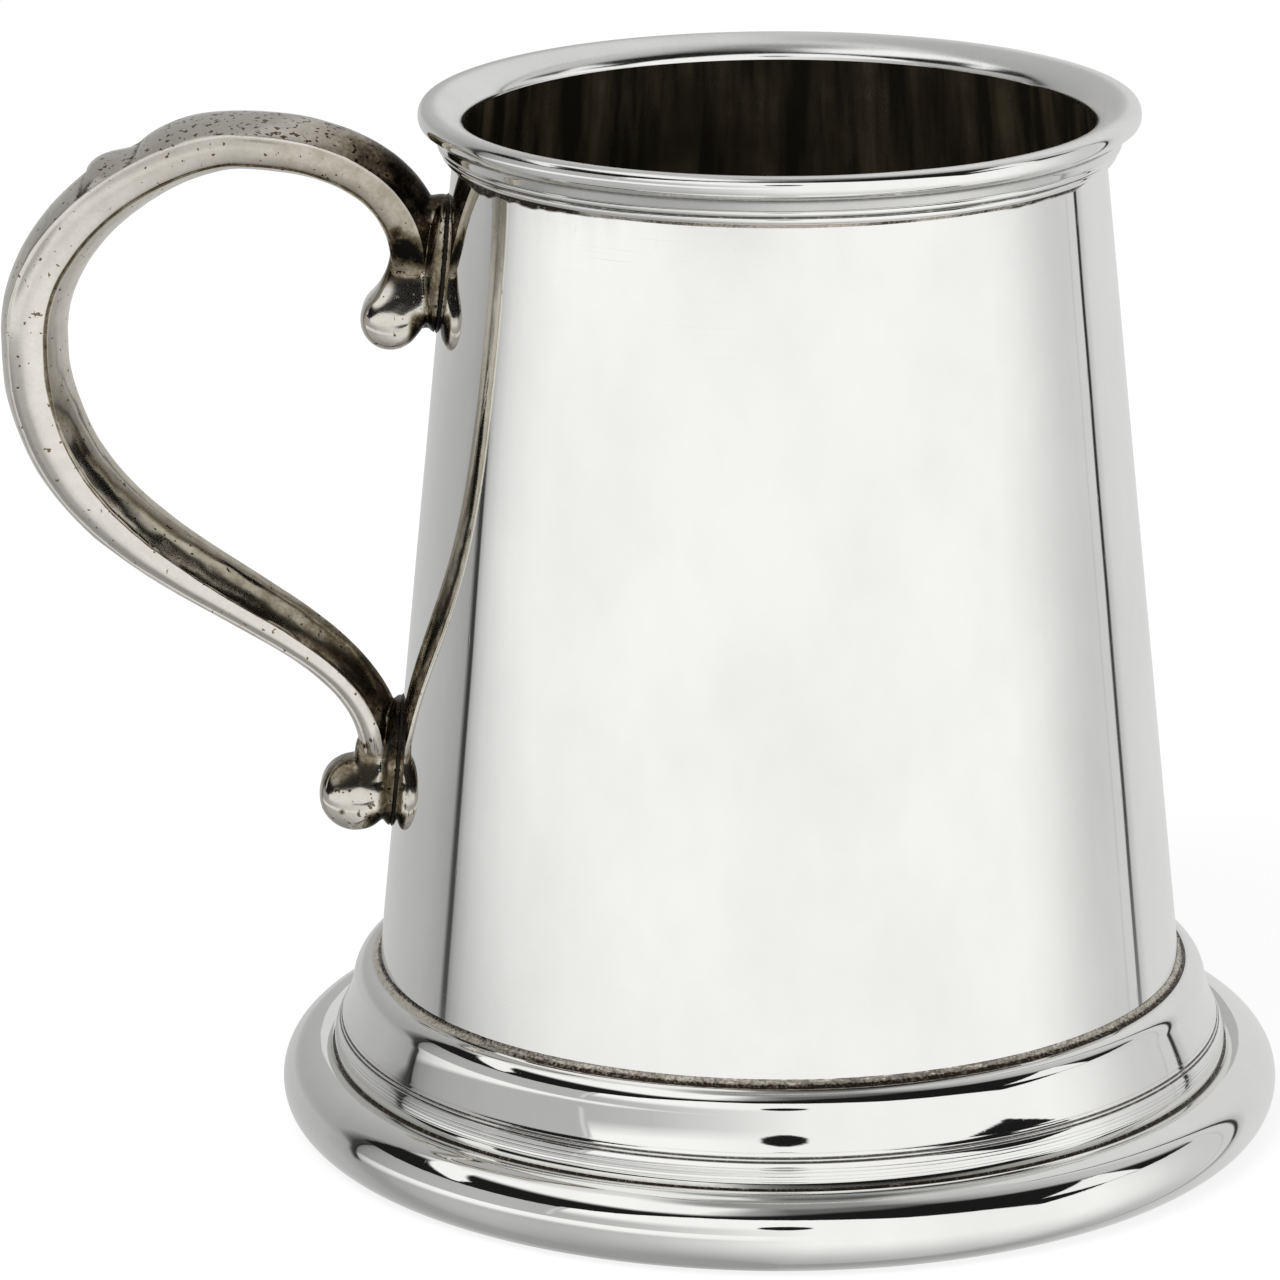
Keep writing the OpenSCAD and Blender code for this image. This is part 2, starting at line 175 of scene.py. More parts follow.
def noise(tree, vector, scale, detail=3.0, roughness=0.55):
    """Cloudy noise over the given coordinates, about 0.5 on average."""
    return shade(tree, "ShaderNodeTexNoise",
                 {"Vector": vector, "Scale": scale, "Detail": detail, "Roughness": roughness}).outputs[0]


def stretched(tree, scale):
    """Object coordinates multiplied by a different factor on each axis."""
    place = shade(tree, "ShaderNodeTexCoord").outputs["Object"]
    return shade(tree, "ShaderNodeMapping", {"Vector": place, "Scale": scale}).outputs[0]


def mark_of(tree, name):
    """A piece's own named mark."""
    return shade(tree, "ShaderNodeAttribute", attribute_name=name).outputs["Fac"]


def new_metal(name, metallic):
    """A new material with its node tree and its main shader."""
    material = bpy.data.materials.new(name)
    material.use_nodes = True
    metal = material.node_tree.nodes["Principled BSDF"]
    metal.inputs["Metallic"].default_value = metallic
    return material, material.node_tree, metal


def finish_metal(tree, metal, colour, rough, relief, strength, depth):
    """Links a metal's colour and roughness, and a fine relief of the given strength and depth."""
    tree.links.new(colour, metal.inputs["Base Color"])
    tree.links.new(rough, metal.inputs["Roughness"])
    bump = shade(tree, "ShaderNodeBump", {"Height": relief, "Strength": strength, "Distance": depth})
    tree.links.new(bump.outputs[0], metal.inputs["Normal"])


def effect(name, inputs, outputs):
    """An empty effect group with named number inputs and outputs."""
    group = bpy.data.node_groups.new(name, "ShaderNodeTree")
    for label, value in inputs.items():
        group.interface.new_socket(label, in_out="INPUT", socket_type="NodeSocketFloat").default_value = value
    for label in outputs:
        group.interface.new_socket(label, in_out="OUTPUT", socket_type="NodeSocketFloat")
    return group, group.nodes.new("NodeGroupInput"), group.nodes.new("NodeGroupOutput")


# Polishing marks: faint clouds left by the buff, and hairlines in three directions left by cloths and use.
polish_marks, marks_in, marks_out = effect("polish_marks", {"Scale": 1.0}, ["Cloud", "Hairline"])
cloud_scale = reckon(polish_marks, "MULTIPLY", marks_in.outputs["Scale"], 48.0)
cloud = noise(polish_marks, stretched(polish_marks, (1.0, 1.0, 0.6)), cloud_scale, 4.0, 0.6)
hairs = []
for stretch, lay in (
    ((60.0, 60.0, 4200.0), (0.05, 0.03, 0.0)),
    ((1800.0, 1800.0, 90.0), (0.32, 0.20, 0.4)),
    ((1500.0, 1500.0, 160.0), (-0.5, 0.3, 0.1)),
):
    hair_place = shade(polish_marks, "ShaderNodeMapping",
                       {"Vector": stretched(polish_marks, stretch), "Rotation": lay}).outputs[0]
    hairs.append(noise(polish_marks, hair_place, marks_in.outputs["Scale"], 2.0, 0.5))
hairline = reckon(polish_marks, "MAXIMUM", spread(polish_marks, hairs[1], 0.70, 0.82),
                  spread(polish_marks, hairs[2], 0.71, 0.82))
hairline = reckon(polish_marks, "MAXIMUM", hairline, spread(polish_marks, hairs[0], 0.66, 0.9, 0.0, 0.7))
polish_marks.links.new(cloud, marks_out.inputs["Cloud"])
polish_marks.links.new(hairline, marks_out.inputs["Hairline"])


def bright_pewter(name, colour, dirt, gloss):
    """Polished pewter: a mirror-like metal, hazed in clouds and hairlines, with brown dirt where the piece's
    own grime mark says that a cloth can't reach, and a brushed satin where its satin mark says."""
    material, tree, metal = new_metal(name, 1.0)
    marks = shade(tree, "ShaderNodeGroup", node_tree=polish_marks).outputs
    speck = noise(tree, stretched(tree, (1.0, 1.0, 1.0)), 1400.0, 4.0, 0.7)
    dirty = reckon(tree, "MULTIPLY", mark_of(tree, "grime"), spread(tree, speck, 0.3, 0.5, 0.6, 1.0))
    dull = tuple(0.905 * c for c in colour[:3]) + (1.0,)
    clean = tint(tree, spread(tree, marks["Cloud"], 0.35, 0.75), colour, dull)
    haze = spread(tree, marks["Cloud"], 0.3, 0.8, gloss, gloss + 0.03)
    haze = reckon(tree, "ADD", haze, reckon(tree, "MULTIPLY", marks["Hairline"], 0.05))
    brushed = reckon(tree, "MULTIPLY", mark_of(tree, "satin"), spread(tree, speck, 0.3, 0.7, 0.16, 0.26))
    haze = reckon(tree, "ADD", haze, brushed)
    rough = reckon(tree, "ADD", haze, reckon(tree, "MULTIPLY", dirty, 0.45))
    relief = reckon(tree, "MULTIPLY", marks["Cloud"], 0.5)
    relief = reckon(tree, "SUBTRACT", relief, marks["Hairline"])
    finish_metal(tree, metal, tint(tree, dirty, clean, dirt), rough, relief, 0.012, 0.2 * MM)
    return material


def old_pewter(name, light, dark, gloss):
    """Tarnished pewter that has not been polished since it was new: brown to black, in runs down the wall."""
    material, tree, metal = new_metal(name, 0.85)
    runs = noise(tree, stretched(tree, (260.0, 260.0, 9.0)), 1.0, 4.0, 0.6)
    blots = noise(tree, stretched(tree, (1.0, 1.0, 1.0)), 70.0, 5.0, 0.6)
    stain = reckon(tree, "MULTIPLY", spread(tree, runs, 0.42, 0.72), spread(tree, blots, 0.3, 0.7, 0.25, 1.0))
    rough = spread(tree, blots, 0.3, 0.7, gloss, gloss + 0.2)
    finish_metal(tree, metal, tint(tree, stain, dark, light), rough, blots, 0.1, 0.2 * MM)
    return material


polished = bright_pewter("polished_pewter", (0.915, 0.914, 0.893, 1.0), (0.045, 0.037, 0.026, 1.0), 0.025)
tarnished = old_pewter("tarnished_pewter", (0.40, 0.33, 0.20, 1.0), (0.055, 0.049, 0.035, 1.0), 0.16)

outer_z = np.concatenate([
    np.linspace(ledge_z, rim_rows_from - 0.1 * MM, 60),
    np.linspace(rim_rows_from, rim_rows_from + 3.0 * MM, 25),
    [drum_top_z],
])
inner_z = outer_z[::-1]
drum_rows = len(outer_z)
drum_profile = np.concatenate([
    np.stack([drum_r(outer_z), outer_z], axis=1),
    np.stack([drum_r(inner_z) - drum_wall, inner_z], axis=1),
])
dents = soft_noise(drum_segments, drum_rows, 20.0, 6.0, 11)
dents += 0.4 * soft_noise(drum_segments, drum_rows, 7.0, 2.5, 12)
dents *= np.clip((rim_z - 3.0 * MM - outer_z) / dent_fade, 0.0, 1.0)
dents = np.hstack([dents, -dents[:, ::-1]]) * dent_depth
# Black residue on the drum under the rim: how far down it reaches in mm, at each turn from the front
residue = np.interp(
    turns_from_front(drum_segments),
    [-95.0, -84.0, -76.0, -60.0, -44.0, -36.0, -28.0, 34.0, 46.0, 58.0, 68.0],
    [0.2, 0.6, 0.75, 0.9, 0.8, 0.6, 0.1, 0.0, 0.4, 0.45, 0.1])[:, None] * MM
residue_ragged = 0.22 * round_noise(drum_segments, 5.0, 13)
residue_ragged += 0.1 * round_noise(drum_segments, 1.2, 14)
residue_low_z = rim_z - residue * (1.0 + residue_ragged)
drum_grime = np.clip((drum_profile[None, :, 1] - residue_low_z) / residue_edge, 0.0, 1.0)
drum_mesh = skin("drum", turned(drum_profile, drum_segments, dents), marks={"grime": drum_grime})
settle("drum", drum_mesh, [polished, tarnished], "body")
centres = np.empty(len(drum_mesh.polygons) * 3, dtype=np.float32)
facing = np.empty_like(centres)
drum_mesh.polygons.foreach_get("center", centres)
drum_mesh.polygons.foreach_get("normal", facing)
# The faces that look toward the axis are the inside, which is tarnished
inward = (centres.reshape(-1, 3)[:, :2] * facing.reshape(-1, 3)[:, :2]).sum(axis=1) < 0.0
drum_mesh.polygons.foreach_set("material_index", inward.astype(np.int32))


# The rim moulding: a flared lip with a rounded edge over a plain band and two reeds, cast in a ring,
# turned and polished. It is slipped over the drum's top edge and soldered, and its mouth is flush with
# the drum inside.
lip_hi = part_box("lip")[1]
joint_z = rim_z + 0.4 * MM
lip_edge_w = 0.8 * MM
lip_edge_h = 1.2 * MM
lip_r = lip_hi[0] - lip_edge_w
lip_z = lip_hi[2] - lip_edge_h
lip_face_end = -35
reed_low_r = 0.50 * MM
reed_top_r = 0.42 * MM
reed_low = np.array([drum_top_r + 0.8 * MM, joint_z + reed_low_r])
reed_top = reed_low + np.array([0.55 * MM, reed_low_r + reed_top_r])
band_low = reed_top + np.array([0.34 * MM, 0.85 * reed_top_r])
lip_under = np.array([band_low[0] + 0.55 * MM, lip_hi[2] - 2.85 * MM])
mouth_r = drum_r(drum_top_z) - drum_wall
lip_segments = 512


def arc(middle, half_w, half_h, start, end, steps):
    """Points on an ellipse about its middle, from one angle to another in degrees."""
    t = np.radians(np.linspace(start, end, steps + 1))
    return np.stack([middle[0] + half_w * np.cos(t), middle[1] + half_h * np.sin(t)], axis=1)


def straight(start, end, steps):
    """Points on a straight line, without its last end."""
    return start + (end - start) * np.linspace(0.0, 1.0, steps, endpoint=False)[:, None]


def one_profile(parts):
    """A profile and its grime from stretches of points, each with its dirt as one number or one per point."""
    profile = np.concatenate([points for points, dirt in parts])
    return profile, np.concatenate([np.broadcast_to(dirt, len(points)) for points, dirt in parts])


lip_edge = arc((lip_r, lip_z), lip_edge_w, lip_edge_h, lip_face_end, 90, 26)
lip_parts = [
    (np.array([[drum_r(joint_z), joint_z]]), 0.9),
    (arc(reed_low, reed_low_r, reed_low_r, -90, 55, 12), 0.0),
    (arc(reed_top, reed_top_r, reed_top_r, -55, 58, 12), 0.0),
    (straight(band_low, lip_under - np.array([0.12, 0.10]) * MM, 4), 0.08),
    (straight(lip_under, lip_edge[0], 6), 0.0),
    (lip_edge, 0.0),
    (arc((lip_r, drum_top_z), lip_r - mouth_r, lip_hi[2] - drum_top_z, 92, 180, 26), 0.0),
    (np.array([[drum_r(drum_top_z), drum_top_z]]), 0.0),
]
lip_profile, lip_grime = one_profile(lip_parts)
# Dirt lies in the corners between the stretches
joints = np.cumsum([len(points) for points, dirt in lip_parts])
lip_grime[[joints[0], joints[1] - 1, joints[1], joints[2] - 1, joints[3]]] = 0.8
lip_wobble = round_noise(lip_segments, 9.0, 21)
lip_wobble = np.repeat(lip_wobble - lip_wobble.max(), len(lip_profile), axis=1) * 0.006 * MM
# The lip is brushed to a satin from the rounded edge over its top to the mouth
satin_points = [joints[4] + 12, joints[4] + 20, joints[6] - 12, joints[6]]
lip_satin = np.interp(np.arange(len(lip_profile)), satin_points, [0.0, 0.8, 1.0, 0.2])
lip_mesh = skin("rim_moulding", turned(lip_profile, lip_segments, lip_wobble),
                marks={"grime": lip_grime[None, :], "satin": lip_satin[None, :]})
settle("rim_moulding", lip_mesh, [polished], "lip", 34)


# The collar: the upper foot moulding, cast and turned. From the foot up it has a plain edge, a rounded
# toe, a strip with turned lines, a long hollow flare, a rounded shoulder and a flat seat. The drum stands
# inside it.
collar_lo, collar_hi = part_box("collar")
flange_z, collar_z = collar_lo[2], collar_hi[2]
drum_low_r = drum_r(collar_z)
collar_r = drum_low_r + 5.6 * MM
ledge_r = drum_r(ledge_z) - drum_wall - 2.0 * MM
toe_z = flange_z + 0.7 * MM
toe_r = 5.0 * MM
strip_lean = 27
strip_w = 0.9 * MM
flare_r = 15.6 * MM
flare_lean = 10
shoulder_w = 2.3 * MM
shoulder_start = 13.3
shoulder_end = 82
collar_segments = 448
# Turned lines: place along the profile from the toe's foot, half width and depth
turned_lines = np.array([
    [0.55, 0.07, 0.015], [0.95, 0.07, 0.02], [1.40, 0.08, 0.025], [1.80, 0.08, 0.02],
    [2.58, 0.17, 0.13], [3.04, 0.17, 0.13], [3.60, 0.07, 0.012],
]) * MM
lean, top_lean = math.radians(strip_lean), math.radians(flare_lean)
start_turn, end_turn = math.radians(shoulder_start), math.radians(shoulder_end)
toe = arc((collar_r - toe_r, toe_z), toe_r, toe_r, 0, strip_lean, 56)[:-1]
strip_low = np.array([collar_r - toe_r * (1 - math.cos(lean)), toe_z + toe_r * math.sin(lean)])
strip_top = strip_low + strip_w * np.array([-math.sin(lean), math.cos(lean)])
flare_middle = strip_top + flare_r * np.array([math.cos(lean), math.sin(lean)])
flare = arc(flare_middle, flare_r, flare_r, 180 + strip_lean, 180 + flare_lean, 40)[:-1]
flare_top = flare_middle - flare_r * np.array([math.cos(top_lean), math.sin(top_lean)])
shoulder_h = (collar_z - flare_top[1]) / (math.sin(end_turn) - math.sin(start_turn))
shoulder_middle = flare_top - np.array([
    shoulder_w * math.cos(start_turn), shoulder_h * math.sin(start_turn)])
shoulder = arc(shoulder_middle, shoulder_w, shoulder_h, shoulder_start, shoulder_end, 28)
face = np.concatenate([toe, straight(strip_low, strip_top, 36), flare, shoulder])
face_run = np.concatenate([[0.0], np.cumsum(np.linalg.norm(np.diff(face, axis=0), axis=1))])
from_line = np.abs(face_run[:, None] - turned_lines[None, :, 0]) / turned_lines[None, :, 1]
line_cut = (np.clip(1.0 - from_line, 0.0, 1.0) * turned_lines[None, :, 2]).sum(axis=1)
face[:, 0] -= line_cut * math.cos(lean)
face[:, 1] -= line_cut * math.sin(lean)
line_dirt = np.clip(line_cut / (0.08 * MM), 0.0, 0.85)
collar_parts = [
    (np.array([[ledge_r, ledge_z], [ledge_r, flange_z], [collar_r, flange_z]]), 0.6),
    (face, line_dirt),
    (np.array([[drum_low_r, collar_z], [drum_r(ledge_z), ledge_z]]), 0.5),
]
collar_profile, collar_grime = one_profile(collar_parts)
collar_wobble = round_noise(collar_segments, 8.0, 31)
collar_wobble = np.repeat(collar_wobble, len(collar_profile), axis=1) * 0.008 * MM
collar_mesh = skin("collar_moulding", turned(collar_profile, collar_segments, collar_wobble),
                   marks={"grime": collar_grime[None, :]})
settle("collar_moulding", collar_mesh, [polished], "collar", 34)


# The foot ring: a sheet spun to a hollow roll with a flat land that rests on the table and a turned-in hem.
# Its flange lies under the collar and is soldered there.
foot_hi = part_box("foot_ring")[1]
roll_half_w = 4.1 * MM
roll_half_h = 4.55 * MM
roll_r = foot_hi[0] - roll_half_w
roll_z = foot_hi[2] - roll_half_h
foot_wall = 1.5 * MM
flange_r = collar_r - 4.0 * MM
roll_edge_r = roll_r - roll_half_w * math.sqrt(1 - ((flange_z - roll_z) / roll_half_h) ** 2)
hem_r = roll_r - roll_half_w / 2
land_angle = math.degrees(math.asin(roll_z / roll_half_h))
hem_angle = -80
foot_segments = 512
crease_angle = 90 + math.degrees(math.acos((flange_z - roll_z) / roll_half_h))
foot_parts = [
    (np.array([[flange_r, flange_z - foot_wall], [flange_r, flange_z]]), 0.6),
    (arc((roll_r, roll_z), roll_half_w, roll_half_h, crease_angle, -land_angle, 72), 0.0),
    (np.array([[hem_r, 0.0], [hem_r, foot_wall]]), 0.6),
    (arc((roll_r, roll_z), roll_half_w - foot_wall, roll_half_h - foot_wall, hem_angle, 90, 32), 0.7),
    (np.array([[roll_edge_r, flange_z - foot_wall]]), 0.7),
]
foot_profile, foot_grime = one_profile(foot_parts)
foot_profile = np.maximum(foot_profile, 0.0)
foot_wobble = round_noise(foot_segments, 7.0, 41)
foot_wobble = np.repeat(foot_wobble - foot_wobble.min(), len(foot_profile), axis=1) * 0.008 * MM
foot_wobble *= (foot_profile[:, 1] > 0.5 * MM)[None, :]
foot_mesh = skin("foot_roll", turned(foot_profile, foot_segments, foot_wobble),
                 marks={"grime": foot_grime[None, :]})
settle("foot_roll", foot_mesh, [polished], "foot_ring", 34)


# The floor of the vessel: a disc cut from pewter sheet, dull and stained like the drum's inside.
# It lies on the collar's ledge within the drum's lower edge, and solder holds it all round.
floor_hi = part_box("floor")[1]
floor_steps = 48
floor_segments = 256
floor_top_r = drum_r(floor_hi[2]) - drum_wall
floor_spokes = np.linspace(0.0, 1.0, floor_steps)
floor_profile = np.concatenate([
    np.stack([floor_spokes * floor_hi[0], np.full(floor_steps, ledge_z)], axis=1),
    np.stack([floor_spokes[::-1] * floor_top_r, np.full(floor_steps, floor_hi[2])], axis=1),
])
floor_mesh = skin("floor_disc", turned(floor_profile, floor_segments), wrap_columns=False)
settle("floor_disc", floor_mesh, [tarnished], "floor")


# The solder lines: grey-brown tin solder run into the corners with an iron, and left as it set, grainy
# and pitted. Flux and dirt have blackened its edges. The two beds under the handle's pads are made with
# the pads, of a darker solder.
grain_height = 0.05 * MM
seam_steps = 14
line_steps = 8


def ease(u):
    """A smooth step from 0 to 1."""
    u = np.clip(u, 0.0, 1.0)
    return u * u * (3.0 - 2.0 * u)


# Solder grain, used by both solders: the grains themselves, and the dirt that lies in the pits between
# them, in patches, on top of a given grime.
solder_grain, grain_in, grain_out = effect("solder_grain", {"Grime": 0.0}, ["Grain", "Dirt"])
grain_place = stretched(solder_grain, (1.0, 1.0, 1.0))
grains = noise(solder_grain, grain_place, 2600.0, 3.0, 0.6)
patches = noise(solder_grain, grain_place, 420.0, 3.0, 0.6)
pit_dirt = reckon(solder_grain, "ADD", spread(solder_grain, grains, 0.62, 0.36, -0.28, 0.32),
                  spread(solder_grain, patches, 0.3, 0.7, -0.15, 0.15))
pit_dirt = spread(solder_grain, reckon(solder_grain, "ADD", pit_dirt, grain_in.outputs["Grime"]), 0.0, 1.0)
solder_grain.links.new(grains, grain_out.inputs["Grain"])
solder_grain.links.new(pit_dirt, grain_out.inputs["Dirt"])


def grainy_solder(name, light, dark):
    """Rough solder: light metal where it stands up, dirt in its pits and where the grime mark says."""
    material, tree, metal = new_metal(name, 0.9)
    grain = shade(tree, "ShaderNodeGroup", {"Grime": mark_of(tree, "grime")}, node_tree=solder_grain).outputs
    rough = spread(tree, grain["Grain"], 0.3, 0.7, 0.5, 0.3)
    finish_metal(tree, metal, tint(tree, grain["Dirt"], light, dark), rough, grain["Grain"], 0.3, 0.12 * MM)
    return material


def fillet(low, high, corner, steps):
    """A solder fillet's section: a hollow curve from its lower end to its upper end, closed at the corner."""
    u = np.linspace(0.0, 1.0, steps)[:, None]
    bow = 0.35 * u * (1.0 - u)
    return np.concatenate([low + (high - low) * u + bow * (2.0 * corner - low - high), corner[None, :]])


def solder_line(name, node, section, segments, grain, seed, grime):
    """A fillet carried round the axis, with grains that stand up only on its open face."""
    lumps = soft_noise(segments, len(section), 1.6, 0.8, seed)
    lumps += 0.6 * soft_noise(segments, len(section), 8.0, 2.0, seed + 1)
    lumps = lumps * np.append(np.sin(np.linspace(0.0, math.pi, len(section) - 1)), 0.0)[None, :]
    mesh = skin(name, turned(section, segments, lumps * grain), marks={"grime": grime})
    settle(name, mesh, [solder], node, 80)


solder = grainy_solder("grainy_solder", (0.70, 0.65, 0.56, 1.0), (0.035, 0.026, 0.016, 1.0))
dark_solder = grainy_solder("dark_solder", (0.035, 0.029, 0.022, 1.0), (0.010, 0.008, 0.006, 1.0))
seam_leg = 0.85 * (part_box("seam_solder")[1][2] - collar_z)
seam_section = fillet(
    np.array([drum_low_r + seam_leg, collar_z]),
    np.array([drum_r(collar_z + seam_leg), collar_z + seam_leg]),
    np.array([drum_low_r, collar_z]), seam_steps)
seam_segments = 1800
seam_turn = turns_from_front(seam_segments)
# In front the seam is dirty below and rubbed bright above, and on the handle's side the other way round
handle_side = (ease((-seam_turn - 25.0) / 35.0) * ease((seam_turn + 175.0) / 30.0))[:, None]
seam_rise = np.linspace(0.0, 1.0, seam_steps)
seam_front = np.append(np.interp(seam_rise, [0.0, 0.4, 0.56, 0.9, 1.0], [1.2, 1.0, 0.35, 0.18, 0.5]), 0.8)
seam_back = np.append(np.interp(seam_rise, [0.0, 0.1, 0.5, 0.68, 1.0], [0.1, -0.1, 0.05, 0.85, 1.2]), 0.8)
seam_grime = seam_front[None, :] + (seam_back - seam_front)[None, :] * handle_side
solder_line("seam_fillet", "seam_solder", seam_section, seam_segments, grain_height, 51, seam_grime)

crease_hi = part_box("crease_solder")[1]
crease_r = collar_r + 0.5 * (crease_hi[0] - collar_r)
crease_section = fillet(
    np.array([crease_r, roll_z + roll_half_h * math.sqrt(1 - ((crease_r - roll_r) / roll_half_w) ** 2)]),
    np.array([collar_r, flange_z + 0.5 * (crease_hi[2] - flange_z)]),
    np.array([collar_r, flange_z]), line_steps)
crease_rise = np.linspace(0.0, (line_steps + 1) / line_steps, line_steps + 1)
crease_grime = np.interp(crease_rise, [0.0, 0.5, 1.0], [1.25, 1.15, 0.95])[None, :]
solder_line("crease_fillet", "crease_solder", crease_section, 1800, 0.35 * grain_height, 53, crease_grime)

rim_segments = 1600
rim_low_z = joint_z - 0.55 * MM
rim_section = fillet(
    np.array([drum_r(rim_low_z), rim_low_z]),
    np.array([drum_r(joint_z) + 0.75 * MM, joint_z + 0.08 * MM]),
    np.array([drum_r(joint_z), joint_z]), line_steps)
rim_grime = np.interp(
    turns_from_front(rim_segments),
    [-95.0, -80.0, -45.0, -30.0, 30.0, 42.0, 55.0, 68.0],
    [0.5, 1.3, 1.2, 0.3, 0.3, 0.9, 0.9, 0.4])
rim_grime = rim_grime[:, None] + 0.35 * round_noise(rim_segments, 12.0, 59)
solder_line("rim_fillet", "rim_solder", rim_section, rim_segments, 0.7 * grain_height, 55, rim_grime)

floor_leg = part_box("floor_solder")[1][2] - floor_hi[2]
inside_r = drum_r(floor_hi[2]) - drum_wall
inside_section = fillet(
    np.array([drum_r(floor_hi[2] + floor_leg) - drum_wall, floor_hi[2] + floor_leg]),
    np.array([inside_r - floor_leg, floor_hi[2]]),
    np.array([inside_r, floor_hi[2]]), line_steps)
solder_line("floor_fillet", "floor_solder", inside_section, 900, 0.6 * grain_height, 57, 0.6)


# The handle: a strap, two scroll ends and two pads in one pewter casting, filed and rubbed bright on its
# sides and left tarnished in the hollows. Its colour also holds painted shade under the scrolls, in the
# saddles, in the groove, at the leaves' tips and on the side face toward the top, a painted dark reflection
# on its back near the top pad, and a painted highlight on the top pad's upper part. Leaves lie on its back
# past the crest, and its pads are soldered to the drum.
pad_top_z = sum(corner[2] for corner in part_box("pad_solder_top")) / 2
pad_low_z = sum(corner[2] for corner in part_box("pad_solder_low")) / 2
bed_t = 0.3 * MM
reach = 47.22 * MM
crest_z = pad_top_z + 14.7 * MM
bend_z = pad_top_z - 8.2 * MM
heel_z = bend_z - 10.7 * MM
tail_z = pad_low_z + 1.0 * MM
bend_x = -drum_r(bend_z) - reach
strap_keys = np.array([
    [-drum_r(pad_top_z) - 2.7 * MM, pad_top_z],
    [-drum_r(crest_z) - 0.53 * reach, crest_z],
    [bend_x, bend_z],
    [bend_x + 1.7 * MM, heel_z],
    [-drum_r(tail_z) - 1.9 * MM, tail_z],
])
# Each key point's heading, the pull of both ends on the curve between two of them as shares of its chord,
# and the strap's thickness and half width at each
strap_turns = np.radians([90.0, 180.0, 270.0, 289.0, 270.0])
strap_pulls = np.array([[0.41, 0.45], [0.24, 0.41], [0.5, 0.37], [0.39, 0.32]])
strap_t = np.array([6.8, 6.4, 7.8, 8.2, 5.4]) * MM
strap_w = np.array([7.0, 13.2, 11.4, 10.8, 7.0]) * MM / 2
strap_stations = 400
# The leaves: where both end and where each is highest, how far its edges run on, its rise, its dip under the
# next and the width of the painted shade line at its tip
leaf_ends = (0.345, 0.51)
leaf_peak = 0.68
leaf_sweep = 0.04
leaf_rise = 0.75 * MM
leaf_sink = 0.65 * MM
leaf_tip_shade = 0.014
back_points = 17
# Along the strap, where a whole number is a key point: the back's crown in mm, the side face's share of the
# thickness, how far its outer edge is rounded off, the groove's depth, and the tarnish on the back with a
# painted dark reflection near the top pad, on the side face with painted shade toward the top, next to the
# groove and on the inner side
wear_places = [0.0, 0.3, 0.5, 0.75, 1.0, 1.6, 2.0, 2.6, 3.0, 3.25, 3.5, 3.75, 4.0]
back_crown = [2.7, 2.6, 2.3, 1.6, 1.2, 1.1, 1.03, 1.0, 0.97, 0.9, 0.85, 0.75, 0.63]
face_share = [0.88, 0.85, 0.80, 0.74, 0.71, 0.695, 0.685, 0.66, 0.63, 0.56, 0.49, 0.50, 0.56]
edge_round = [0.055, 0.055, 0.055, 0.04, 0.03, 0.03, 0.16, 0.22, 0.22, 0.22, 0.22, 0.22, 0.22]
groove_depth = [1.0, 1.0, 1.0, 1.0, 1.0, 1.0, 1.0, 0.9, 0.4, 0.15, 0.05, 0.0, 0.0]
back_tarnish_and_reflection = [0.9, 0.95, 0.70, 0.26, 0.13, 0.13, 0.13, 0.12, 0.12, 0.12, 0.12, 0.16, 0.3]
face_tarnish_and_shade = [0.36, 0.32, 0.30, 0.28, 0.19, 0.1, 0.05, 0.06, 0.08, 0.08, 0.08, 0.08, 0.12]
lobe_tarnish = [0.30, 0.26, 0.24, 0.22, 0.20, 0.21, 0.22, 0.28, 0.32, 0.34, 0.42, 0.58, 0.80]
inner_tarnish = [0.8, 0.6, 0.4, 0.25, 0.2, 0.17, 0.17, 0.2, 0.22, 0.25, 0.32, 0.55, 0.85]


def strap_course(t):
    """The strap's middle line: cubic pieces between key points with set headings. A whole number in t is a
    key point. Gives places and directions in the XZ plane."""
    i = np.clip(t.astype(int), 0, len(strap_keys) - 2)
    u = (t - i)[:, None]
    start, end = strap_keys[i], strap_keys[i + 1]
    heading = np.stack([np.cos(strap_turns), np.sin(strap_turns)], axis=1)
    chord = np.linalg.norm(end - start, axis=1, keepdims=True)
    first = start + heading[i] * chord * strap_pulls[i, :1]
    second = end - heading[i + 1] * chord * strap_pulls[i, 1:]
    place = (1 - u) ** 3 * start + 3 * (1 - u) ** 2 * u * first + 3 * (1 - u) * u ** 2 * second + u ** 3 * end
    slope = (1 - u) ** 2 * (first - start) + 2 * (1 - u) * u * (second - first) + u ** 2 * (end - second)
    return place, slope / np.linalg.norm(slope, axis=1, keepdims=True)


def leaf_lift(t, y):
    """Rise of the two leaves on the strap's back between crest and back bend. Each swells, rounds off at its
    tip and dips under the next, and its edges run further than its middle."""
    def swell(s):
        late = np.clip((s - leaf_peak) / (1 - leaf_peak), 0.0, 1.0)
        return np.where(s < leaf_peak, ease(s / leaf_peak), np.sqrt(1 - late ** 2))
    v = t - 1.0 - leaf_sweep * y ** 2
    s = v / leaf_ends[0]
    q = (v - leaf_ends[0]) / (leaf_ends[1] - leaf_ends[0])
    first = leaf_rise * swell(s) - leaf_sink * ease(s)
    second = leaf_rise * swell(q) - leaf_sink * ease(1 - q)
    return np.where((v < 0) | (q > 1), 0.0, np.where(s < 1, first, second))


